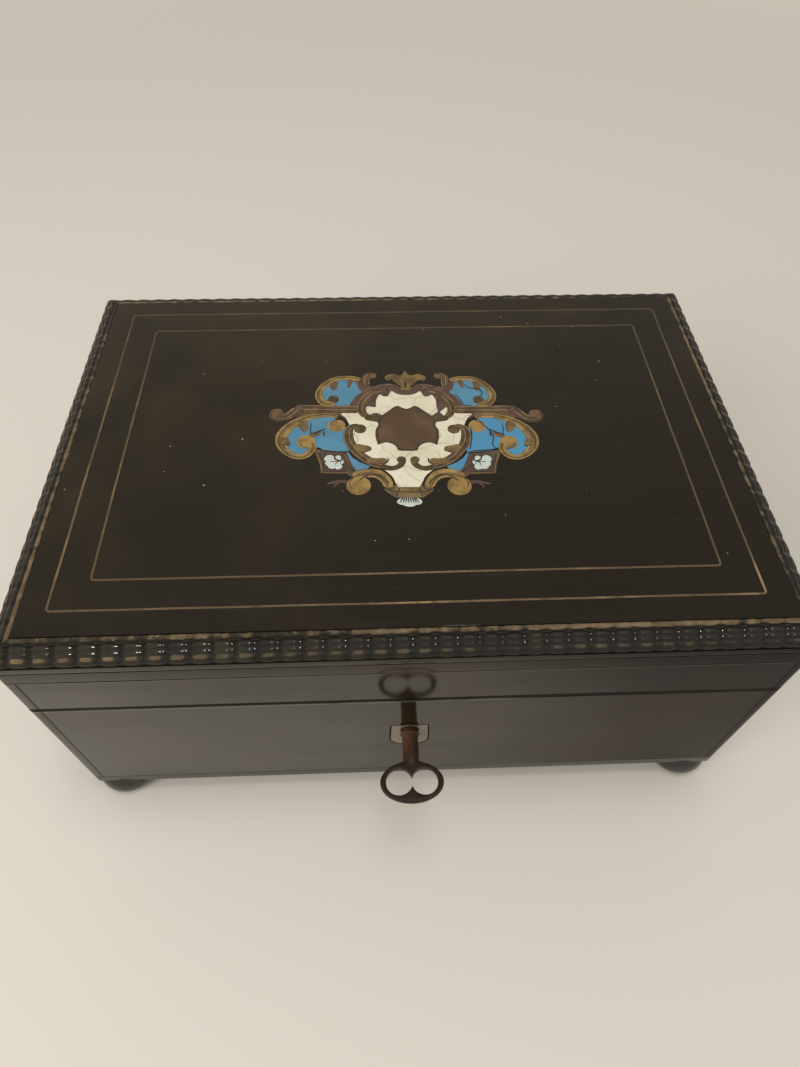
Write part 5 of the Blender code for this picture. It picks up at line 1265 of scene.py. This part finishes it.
def makeCartouche():
    def finished(name, shape, material, replaced=(), smooth=40):
        closeUp(shape)
        print("cartouche:", name, len(shape.faces), "faces")
        return addPiece(name, shape, material, "lid", replaced, smooth)

    hornFinish = makeHornPlate()
    shape = bmesh.new()
    wholePlate(shape, hornPlates["frame"], level("horn"), rounded=False)
    for side in (1, -1):
        plateOn(shape, lozenge["plate"], level("horn"), side, False)
        for twig in bandTwigs:
            bandOn(shape, twig, level("horn"), side, 0.02, 3)
    finished("horn_frame", shape, hornFinish, ("brass_fretwork",))

    blueFinish = makeBlueHorn()
    for side, hand in ((1, "right"), (-1, "left")):
        for name, replaced in (("upper", ("upper_blue_field_" + hand,)),
                               ("lower", ("lower_blue_field_" + hand,))):
            shape = bmesh.new()
            plateOn(shape, bluePlates[name], level("plate"), side)
            if name == "lower":
                plateOn(shape, bluePlates["sliver"], level("plate"), side, False)
            finished(f"{name}_blue_plate_{hand}", shape, blueFinish, replaced)

    ivoryFinish = makeIvory()
    shape = bmesh.new()
    wholePlate(shape, ivoryPlates["field"], level("plate"))
    finished("ivory_plate", shape, ivoryFinish, ("ivory_field",))
    shape = bmesh.new()
    wholePlate(shape, ivoryPlates["crest"] + ivoryPlates["crestRight"], level("dark"),
               ivoryPlates["crest"] + ivoryPlates["crestLeft"])
    plateOn(shape, ivoryPlates["chipRight"], level("dark"), 1)
    finished("ivory_crest_plate", shape, ivoryFinish, ("ivory_crest",))

    darkHorn = makeDarkHorn()
    shape = bmesh.new()
    wholePlate(shape, medallionPlate, level("medallion"))
    finished("medallion_rim", shape, darkHorn)
    shape = bmesh.new()
    wholePlate(shape, [(across * 0.90, 2.6 + (up - 2.6) * 0.905) for across, up in medallionPlate],
               level("medallion") + 0.008 * mm)
    medallionFinish = makeMetal("medallion_finish", *inlayLook["medallion"], 0.6, 90.0, 0.35, 0.02, 700.0,
                                0.00004)
    finished("medallion_plate", shape, medallionFinish, ("medallion",))

    shape = bmesh.new()
    for side in (1, -1):
        plateOn(shape, lozenge["field"], level("dark"), side, False)
    finished("lozenge_fields", shape, darkHorn)

    pearlFinish = makePearl()
    for side, hand in ((1, "right"), (-1, "left")):
        shape = bmesh.new()
        for across, up, radius in flowerPetals:
            discOn(shape, across, up, radius, level("low"), side, 20)
        finished("pearl_petals_" + hand, shape, pearlFinish, ("pearl_flower_" + hand,))
    shape = bmesh.new()
    wholePlate(shape, shellPlate, level("low"))
    finished("pearl_shell_plate", shape, pearlFinish, ("pearl_shell",))

    looks = {"gilt": ("band", makeGiltBand()), "veined": ("band", makeVeinedBand()),
             "olive": ("scroll", makeBandFinish("olive_metal", "olive")),
             "leaf": ("scroll", makeBandFinish("leaf_metal", "leaf", 0.5)),
             "tooth": ("low", makeBandFinish("tooth_horn", "horn", 0.4, 0.2)),
             "disc": ("scroll", makeBandFinish("disc_metal", "gilt", 0.45))}
    for tone, paths in bands.items():
        place, material = looks[tone]
        shape = bmesh.new()
        for points in paths:
            for side in (1, -1):
                bandOn(shape, points, level(place), side)
        finished(tone + "_bands", shape, material)
    for tone, material in (("gilt", looks["disc"][1]), ("olive", looks["olive"][1]),
                           ("horn", looks["tooth"][1])):
        shape = bmesh.new()
        for disc in scrollDiscs[tone]:
            for side in (1, -1):
                discOn(shape, *disc[:3], level("scroll") - 0.006 * mm, side)
        finished(tone + "_scrolls", shape, material)

    shape = bmesh.new()
    wholePlate(shape, finialPlate, level("low"))
    finished("finial", shape, looks["leaf"][1])
    shape = bmesh.new()
    wholePlate(shape, keystonePlate, level("band"), rounded=False)
    finished("keystone", shape, makeBandFinish("keystone_metal", "keystone"))

    shape = bmesh.new()
    for points in lightStrokes:
        for side in (1, -1):
            bandOn(shape, points, level("low"), side, cartouche["inkCrown"], 3)
    finished("light_lines", shape, makeBandFinish("line_metal", "gilt", 0.6))
    shape = bmesh.new()
    strokes = list(inkStrokes)
    for discs in scrollDiscs.values():
        strokes += [curl(*disc) for disc in discs]
    for points in strokes:
        for side in (1, -1):
            bandOn(shape, points, level("ink"), side, cartouche["inkCrown"], 3)
    for points in gapStrokes:
        bandOn(shape, points, level("ink"), 1, cartouche["inkCrown"], 3)
    for across in shellFlutes:
        bandOn(shape,
               ((across * 0.7, -36.5, 0.62), (across * 0.95, -38.0, 0.5), (across * 1.14, -39.6, 0.18)),
               level("ink"), 1, cartouche["inkCrown"], 3)
    finished("engraving", shape, makeInk())
    print("cartouche ready")


def makeHornPlate():
    material, tree, shader = newMaterial("horn_plate")
    spot = texture(tree)
    look = aged(tree, spot, *inlayLook["frame"], 0.6, 150.0)
    patch = ramp(tree, cloud(tree, spot, 260.0, 3.0), 0.60, 0.72)
    colour = blendColour(tree, times(tree, patch, 0.6), look["Color"], inlayLook["framePatch"])
    setShader(shader, Base_Color=colour, Roughness=look["Roughness"], Metallic=0.25)
    bump(tree, shader, cloud(tree, spot, 700.0, 3.0), 0.00004)
    return material


def makeDarkHorn():
    material, tree, shader = newMaterial("dark_horn")
    spot = texture(tree)
    colour = blendColour(tree, ramp(tree, cloud(tree, spot, 200.0), 0.35, 0.65), *inlayLook["darkHorn"])
    setShader(shader, Base_Color=colour, Roughness=0.35, Metallic=0.2)
    bump(tree, shader, cloud(tree, spot, 700.0, 3.0), 0.00004)
    return material


def makeInk():
    material, tree, shader = newMaterial("engraving_black")
    spot = texture(tree)
    colour = blendColour(tree, ramp(tree, cloud(tree, spot, 300.0), 0.3, 0.7), *inlayLook["ink"])
    setShader(shader, Base_Color=colour, Roughness=0.5)
    return material


def makeStriped(name, stripes, lines, metallic):
    # stripes: level across the band, bright, dull; the first starts at its inner edge
    material, tree, shader = newMaterial(name)
    spot = texture(tree)
    across = split(tree, texture(tree, "UV"))[1]
    across = calc(tree, "ADD", across,
                  calc(tree, "MULTIPLY_ADD", cloud(tree, spot, 180.0, 2.0), 0.08, -0.04))
    colour, rough = None, None
    for start, bright, dull in stripes:
        look = aged(tree, spot, bright, dull, 0.5, 170.0)
        if colour is None:
            colour, rough = look["Color"], look["Roughness"]
        else:
            colour = blendColour(tree, ramp(tree, across, start - 0.03, start + 0.03), colour,
                                 look["Color"])
    cut = ramp(tree, calc(tree, "ABSOLUTE", calc(tree, "SUBTRACT", across, 0.5)), 0.455, 0.485)
    for place, width in lines:
        cut = calc(tree, "MAXIMUM", cut, lineAt(tree, across, place, width))
    colour = blendColour(tree, times(tree, cut, 0.82), colour, inlayLook["engraved"])
    setShader(shader, Base_Color=colour, Roughness=calc(tree, "MULTIPLY_ADD", cut, 0.2, rough),
              Metallic=metallic)
    height = calc(tree, "MULTIPLY_ADD", cut, -1.0, times(tree, cloud(tree, spot, 900.0, 3.0), 0.3))
    bump(tree, shader, height, 0.00008)
    return material


def makeGiltBand():
    gold, brown = inlayLook["gilt"], inlayLook["dullGilt"]
    return makeStriped("gilt_band_metal", ((0.0, *gold), (0.50, *brown), (0.72, *gold)),
                       ((0.48, 0.05), (0.70, 0.08)), 0.4)


def makeVeinedBand():
    gold, brown = inlayLook["vein"], inlayLook["horn"]
    return makeStriped("veined_band_metal", ((0.0, *brown), (0.30, *gold), (0.46, *brown), (0.82, *gold)),
                       ((0.30, 0.05), (0.56, 0.07), (0.80, 0.06)), 0.3)


makeCartouche()


# Key

keyLook = {
    # radius, and how far out from the front face, in millimetres
    "stem": ((0, -3.2), (1.6, -3.2), (1.6, -8.0), (1.8, -8.2), (3.05, -8.2), (3.25, -8.0), (3.25, 0.2),
             (3.4, 0.4), (3.42, 1.3), (3.8, 1.42), (4.15, 1.7), (4.2, 2.05), (4.15, 2.4), (3.8, 2.7),
             (3.5, 2.85), (3.42, 3.4), (3.4, 7.0), (3.42, 11.0), (3.4, 12.4), (3.25, 13.4), (2.95, 14.4),
             (2.5, 15.4), (1.95, 16.4), (1.3, 17.3), (0.6, 17.9), (0, 18.0)),
    "bowOut": 22.4, "bowHalf": (13.15, 8.55), "eye": (5.27, 5.44), "thickness": 3.0, "round": 1.05,
    "flare": (1.0, 3.3), "steps": 128, "rows": 24, "stemSteps": 40, "bitFrom": -5, "bitTo": -2.4,
    "bitEase": 0.15,
}


def makeKey():
    low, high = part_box("key")
    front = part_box("front_wall")[0].y
    height = (low.z + high.z) / 2
    shape = bmesh.new()
    spinProfile(shape, [(radius * mm, front - out * mm, height) for radius, out in keyLook["stem"]],
                keyLook["stemSteps"], (0, front, height), (0, 1, 0))
    closeUp(shape)
    steps, rows = keyLook["steps"], keyLook["rows"]
    bow = bmesh.new()
    bmesh.ops.create_grid(bow, x_segments=steps, y_segments=rows, size=0.5)
    middle = front - keyLook["bowOut"] * mm
    halfX, halfY = keyLook["bowHalf"]
    centre, radius = keyLook["eye"]
    rise, spread = keyLook["flare"]
    for vertex in bow.verts:
        angle = math.tau * round((vertex.co.x + 0.5) * steps) / steps
        share = math.tau * round((vertex.co.y + 0.5) * rows) / rows
        cosine, sine = math.cos(angle), math.sin(angle)
        outer = Vector((halfX * cosine, halfY * sine))
        if sine > 0:                        # drawn up into the stem
            outer.y += rise * math.exp(-(outer.x / spread) ** 2)
        reach = centre * abs(cosine) + math.sqrt(radius ** 2 - (centre * sine) ** 2)
        inner = Vector((cosine, sine)) * reach
        wide = (outer - inner).length
        edge = min(keyLook["round"], wide / 2)
        turn = math.cos(share)
        across = 0.5 + 0.5 * (1 - 2 * edge / wide) * max(-1, min(1, turn * 2.5)) + edge / wide * turn
        spot = inner.lerp(outer, across)
        tall = keyLook["thickness"] / 2 * math.copysign(abs(math.sin(share)) ** 0.75, math.sin(share))
        vertex.co = (spot.x * mm, middle + spot.y * mm, height + tall * mm)
    closeUp(bow)
    mesh = bpy.data.meshes.new("bow")
    bow.to_mesh(mesh)
    bow.free()
    shape.from_mesh(mesh)
    bits = [vertex.co for vertex in nodes["key"].data.vertices      # the CAD key's bit, taken over
            if vertex.co.x < keyLook["bitFrom"] * mm and vertex.co.y > front]
    bitLow = Vector([min(point[axis] for point in bits) for axis in range(3)])
    bitHigh = Vector([max(point[axis] for point in bits) for axis in range(3)])
    bitHigh.x = keyLook["bitTo"] * mm
    made = bmesh.ops.create_cube(shape, size=1)["verts"]
    bmesh.ops.scale(shape, verts=made, vec=bitHigh - bitLow)
    bmesh.ops.translate(shape, verts=made, vec=(bitLow + bitHigh) / 2)
    easeEdges(shape, list({edge for vertex in made for edge in vertex.link_edges}), keyLook["bitEase"] * mm)
    bmesh.ops.recalc_face_normals(shape, faces=shape.faces)
    addPiece("rusty_key", shape, makeRust(), "key", ("key",), 45)
    print("key ready")


# Escutcheon

escutcheonLook = {"outline": 0.55, "plate": (0.155, 0.123, 0.083), "worn": (0.225, 0.180, 0.115),
                  "scuff": (0.16, 0.13, 0.08), "mastic": ((0.006, 0.005, 0.004), (0.012, 0.009, 0.007))}


def makeEscutcheon():
    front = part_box("escutcheon")[0].y
    shape = mergedCopy("escutcheon")
    bmesh.ops.dissolve_limit(shape, angle_limit=math.radians(1), verts=shape.verts, edges=shape.edges)
    faces = [face for face in shape.faces
             if face.normal.y < -0.9 and abs(face.calc_center_median().y - front) < 0.05 * mm]
    rim = bmesh.ops.inset_region(shape, faces=faces, thickness=escutcheonLook["outline"] * mm,
                                 use_boundary=True, use_even_offset=True)["faces"]
    for face in rim:
        face.material_index = 1
    piece = addPiece("escutcheon_plate", shape, makeEscutcheonFinish(), "base",
                     ("escutcheon",), 30)
    piece.data.materials.append(makeMastic())
    print("escutcheon ready")


def makeEscutcheonFinish():
    material, tree, shader = newMaterial("escutcheon_finish")
    spot = texture(tree)
    left = times(tree, split(tree, spot)[0], -22.0)
    worn = ramp(tree, calc(tree, "ADD", cloud(tree, spot, 90.0, 3.0), left), 0.40, 0.72)
    colour = blendColour(tree, worn, escutcheonLook["plate"], escutcheonLook["worn"])
    scuffs = useGroup(tree, scratches, Vector=spot, Scale=160.0)["Mask"]
    colour = blendColour(tree, times(tree, scuffs, 0.4), colour, escutcheonLook["scuff"])
    setShader(shader, Base_Color=colour, Roughness=calc(tree, "MULTIPLY_ADD", worn, 0.2, 0.18),
              Metallic=0.1)
    bump(tree, shader, cloud(tree, spot, 300.0, 2.0), 0.00002)
    return material


def makeMastic():
    material, tree, shader = newMaterial("mastic")
    spot = texture(tree)
    colour = blendColour(tree, cloud(tree, spot, 400.0), *escutcheonLook["mastic"])
    setShader(shader, Base_Color=colour, Roughness=0.85, Specular_IOR_Level=0.08)
    return material


# Hinges, lock and their screws

# shares of the head's radius and of its depth
screwLook = {"shank": 0.62, "countersink": 0.55, "slot": 0.16, "slotDepth": 0.5, "steps": 28}
fittingLook = {"hinge": ((0.56, 0.40, 0.17), (0.22, 0.145, 0.065)),
               "pin": ((0.50, 0.36, 0.16), (0.20, 0.13, 0.06)),
               "lock": ((0.50, 0.35, 0.15), (0.19, 0.125, 0.058)),
               "iron": ((0.20, 0.185, 0.17), (0.055, 0.038, 0.028))}


def makeScrew(node, body, material):
    low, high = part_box(node)
    size = high - low
    along = max(range(3), key=lambda axis: size[axis])
    across = [axis for axis in range(3) if axis != along]
    middle = (low + high) / 2
    reach = {}
    for vertex in nodes[node].data.vertices:        # the head is at the end where the screw is widest
        end = vertex.co[along] > middle[along]
        away = math.hypot(*(vertex.co[axis] - middle[axis] for axis in across))
        reach.setdefault(end, []).append((away, vertex.co[along]))
    up = max(reach[True])[0] > max(reach[False])[0]
    headRadius = size[across[0]] / 2
    shank = min(max(reach[not up])[0], headRadius * screwLook["shank"])
    length = size[along]
    deep = min(headRadius * screwLook["countersink"], length * 0.45)
    slotHalf = headRadius * screwLook["slot"]
    profile = ((0, 0), (headRadius * 0.97, 0), (headRadius, -0.05 * mm), (shank, -deep),
               (shank, -length + shank), (shank * 0.3, -length + 0.1 * mm), (0, -length))
    shape = bmesh.new()
    spinProfile(shape, [(radius, 0, level) for radius, level in profile], screwLook["steps"])
    closeUp(shape)
    turned = Matrix.Rotation(sum(ord(letter) for letter in node) * 0.7, 3, "Z")
    bmesh.ops.rotate(shape, verts=shape.verts, cent=(0, 0, 0), matrix=turned)
    for mirrored in (1, -1):                # the slot: a strip of the head, sunk
        geometry = [item for item in shape.faces if item.calc_center_median().z > -0.02 * mm]
        rims = list({edge for face in geometry for edge in face.edges})
        corners = list({vertex for face in geometry for vertex in face.verts})
        bmesh.ops.bisect_plane(shape, geom=corners + rims + geometry,
                               plane_co=(slotHalf * mirrored, 0, 0), plane_no=(1, 0, 0))
    strip = [face for face in shape.faces
             if face.normal.z > 0.9 and abs(face.calc_center_median().x) < slotHalf
             and face.calc_center_median().z > -0.02 * mm]
    raised = bmesh.ops.extrude_face_region(shape, geom=strip)["geom"]
    bmesh.ops.delete(shape, geom=strip, context="FACES")
    sunk = [item for item in raised if isinstance(item, bmesh.types.BMVert)]
    bmesh.ops.translate(shape, verts=sunk, vec=(0, 0, -deep * screwLook["slotDepth"]))
    pose = Vector((0, 0, 1)).rotation_difference(Vector([(1 if up else -1) if axis == along else 0
                                                        for axis in range(3)])).to_matrix().to_4x4()
    spot = middle.copy()
    spot[along] = high[along] if up else low[along]
    bmesh.ops.transform(shape, matrix=Matrix.Translation(spot) @ pose, verts=shape.verts)
    addPiece(node + "_slotted", shape, material, body, (node,), 30)


def makeFittings():
    brass = makeMetal("hinge_brass", *fittingLook["hinge"], 0.52, 90.0, 0.85)
    pins = makeMetal("pin_brass", *fittingLook["pin"], 0.5, 300.0, 0.85)
    plateBrass = makeMetal("lock_brass", *fittingLook["lock"], 0.58, 70.0, 0.85)
    iron = makeMetal("lock_iron", *fittingLook["iron"], 0.6, 110.0, 0.8, 0.08)
    finishes = {"inlaid_brass": brass, "brass": brass, "old_brass": plateBrass, "iron": iron}
    chosen = {"hinge_pin": pins, "hinge_lower_leaf": brass, "hinge_upper_leaf": brass,
              "lock_plate": plateBrass, "link_plate": plateBrass, "lock_case": iron,
              "lock_bolt": plateBrass}
    for node in nodes:
        for ending, material in chosen.items():
            if node.endswith(ending):
                finishNode(node, material)
    for node in [name for name in nodes if name.endswith("_screw")]:
        body = "lid" if ("upper" in node or "link" in node) else "base"
        makeScrew(node, body, finishes[slots[node]])
    print("hinges, lock and screws ready")


# Silk linings and the padded panel of the lid

silkLook = {"light": (0.46, 0.105, 0.125), "dark": (0.30, 0.052, 0.072), "panelPuff": 0.75,
            "panelEase": 9.0, "padColumns": 5, "padRows": 3, "padPuff": 4.4, "padLow": 0.14,
            "buttonRadius": 4.4, "buttonRise": 1.3, "cell": 1.6, "thickness": 1.6}


def puckered(distance, along, seed):
    # 0 at the edge and 1 inside, with small gathers where the silk is drawn in
    share = min(1.0, distance / (silkLook["panelEase"] * mm))
    wave = math.sin(along / (2.1 * mm) + 2.0 * noise.noise(Vector((along * 60, seed, 0))))
    return math.sqrt(max(0.0, 1 - (1 - share) ** 2)) + 0.10 * wave * share * (1 - share) * 4


def liningPanel(shape, start, along, up, inward, length, tall, thick, seed):
    # a card covered with silk: flat at the back, a little crowned in front, mitred by its neighbours
    cell = silkLook["cell"] * mm
    columns, rows = max(8, round(length / cell)), max(6, round(tall / cell))
    layer = uvLayer(shape)
    made = bmesh.ops.create_grid(shape, x_segments=columns, y_segments=rows, size=0.5)["verts"]
    spots = {}
    for vertex in made:
        across, height = (vertex.co.x + 0.5) * length, (vertex.co.y + 0.5) * tall
        near = min(across, length - across, height, tall - height)
        puff = puckered(near, across + height, seed)
        drawn = thick - silkLook["panelPuff"] * mm * (1 - puff)
        inset = min(max(across, thick), length - thick)
        spot = start + along * inset + up * height + inward * drawn
        spots[vertex] = (across / mm, height / mm)
        vertex.co = spot
    border = [edge for vertex in made for edge in vertex.link_edges if edge.is_boundary]
    for vertex, spot in spots.items():
        for loop in vertex.link_loops:
            loop[layer].uv = spot
    raised = bmesh.ops.extrude_edge_only(shape, edges=list(set(border)))["geom"]
    back = [item for item in raised if isinstance(item, bmesh.types.BMVert)]
    for vertex in back:
        depth = (vertex.co - start).dot(inward)
        vertex.co -= inward * depth
    rim = [item for item in raised if isinstance(item, bmesh.types.BMEdge)]
    bmesh.ops.contextual_create(shape, geom=rim)


def makeLinings():
    silk = makeSilk("lining_silk", silkLook["light"], silkLook["dark"], 0.7)
    for node, body, seed in (("wall_lining", "base", 1.0), ("lid_lining", "lid", 5.0)):
        low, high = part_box(node)
        thick = silkLook["thickness"] * mm
        shape = bmesh.new()
        width, depth, tall = high.x - low.x, high.y - low.y, high.z - low.z
        corners = ((low.x, low.y, Vector((1, 0, 0)), Vector((0, 1, 0)), width),
                   (high.x, low.y, Vector((0, 1, 0)), Vector((-1, 0, 0)), depth),
                   (high.x, high.y, Vector((-1, 0, 0)), Vector((0, -1, 0)), width),
                   (low.x, high.y, Vector((0, -1, 0)), Vector((1, 0, 0)), depth))
        for index, (x, y, along, inward, length) in enumerate(corners):
            liningPanel(shape, Vector((x, y, low.z)), along, Vector((0, 0, 1)), inward, length, tall, thick,
                        seed + index)
        bmesh.ops.recalc_face_normals(shape, faces=shape.faces)
        piece = addPiece(node + "_silk", shape, silk, body, (node,), 60)
    low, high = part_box("bottom_lining")
    shape = bmesh.new()
    liningPanel(shape, Vector((low.x, low.y, low.z)), Vector((1, 0, 0)), Vector((0, 1, 0)),
                Vector((0, 0, 1)), high.x - low.x, high.y - low.y, high.z - low.z, 11.0)
    bmesh.ops.recalc_face_normals(shape, faces=shape.faces)
    piece = addPiece("bottom_lining_silk", shape, silk, "base", ("bottom_lining",), 60)
    print("silk linings ready")


def padHeight(x, y, width, depth):
    # deep-buttoned silk: puffed diamonds between the buttons, drawn in at the edges
    across, along = x / width * silkLook["padColumns"], y / depth * silkLook["padRows"]
    first, second = math.sin(math.pi * (across + along)), math.sin(math.pi * (across - along))
    diamond = (abs(first) * abs(second)) ** 0.42
    crease = 1 - math.exp(-(abs(first) / 0.14) ** 1.2) * 0.30 - math.exp(-(abs(second) / 0.14) ** 1.2) * 0.30
    near = min(x, width - x, y, depth - y)
    edge = puckered(near, x + y, 21.0)
    low = silkLook["padLow"]
    return max(0.0, edge * (low + (1 - low) * diamond * max(0.0, crease)))


def makeLidPad():
    low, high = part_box("lid_pad")
    width, depth = high.x - low.x, high.y - low.y
    silk = makeSilk("pad_silk", silkLook["light"], silkLook["dark"], 0.7)
    shape = bmesh.new()
    columns, rows = round(width / (silkLook["cell"] * mm)), round(depth / (silkLook["cell"] * mm))
    bmesh.ops.create_grid(shape, x_segments=columns, y_segments=rows, size=0.5)
    base = high.z - low.z - silkLook["padPuff"] * mm
    for vertex in shape.verts:
        x, y = (vertex.co.x + 0.5) * width, (vertex.co.y + 0.5) * depth
        vertex.co = (low.x + x, low.y + y,
                     high.z - base - silkLook["padPuff"] * mm * padHeight(x, y, width, depth))
    mapFromAbove(shape)
    rim = [edge for edge in shape.edges if edge.is_boundary]
    raised = bmesh.ops.extrude_edge_only(shape, edges=rim)["geom"]
    for item in raised:
        if isinstance(item, bmesh.types.BMVert):
            item.co.z = high.z
    bmesh.ops.contextual_create(shape,
                                geom=[item for item in raised if isinstance(item, bmesh.types.BMEdge)])
    bmesh.ops.recalc_face_normals(shape, faces=shape.faces)
    piece = addPiece("lid_pad_silk", shape, silk, "lid", ("lid_pad",), 80)
    shape = bmesh.new()
    rise = silkLook["buttonRise"] * mm
    radius = silkLook["buttonRadius"] * mm
    level = high.z - base - silkLook["padPuff"] * mm * silkLook["padLow"] * 0.9
    angles = [math.radians(step) for step in (0, 20, 40, 60, 80, 95)]
    profile = [(math.sin(angle), math.cos(angle)) for angle in angles]
    halfColumns, halfRows = 2 * silkLook["padColumns"], 2 * silkLook["padRows"]
    for column in range(1, halfColumns):
        for row in range(1, halfRows):
            if (column + row) % 2 == 0:
                x, y = low.x + width * column / halfColumns, low.y + depth * row / halfRows
                points = [(x + share * radius, y, level + 0.3 * mm - rise * (0.2 + up))
                          for share, up in profile]
                spinProfile(shape, points + [(x, y, level + 1.0 * mm)], 20, (x, y, 0))
    closeUp(shape)
    mapFromAbove(shape)
    addPiece("pad_buttons", shape, silk, "lid", (), 60)
    print("lid pad ready")


makeKey()
makeEscutcheon()
makeFittings()
makeLinings()
makeLidPad()

bpy.context.view_layer.update()
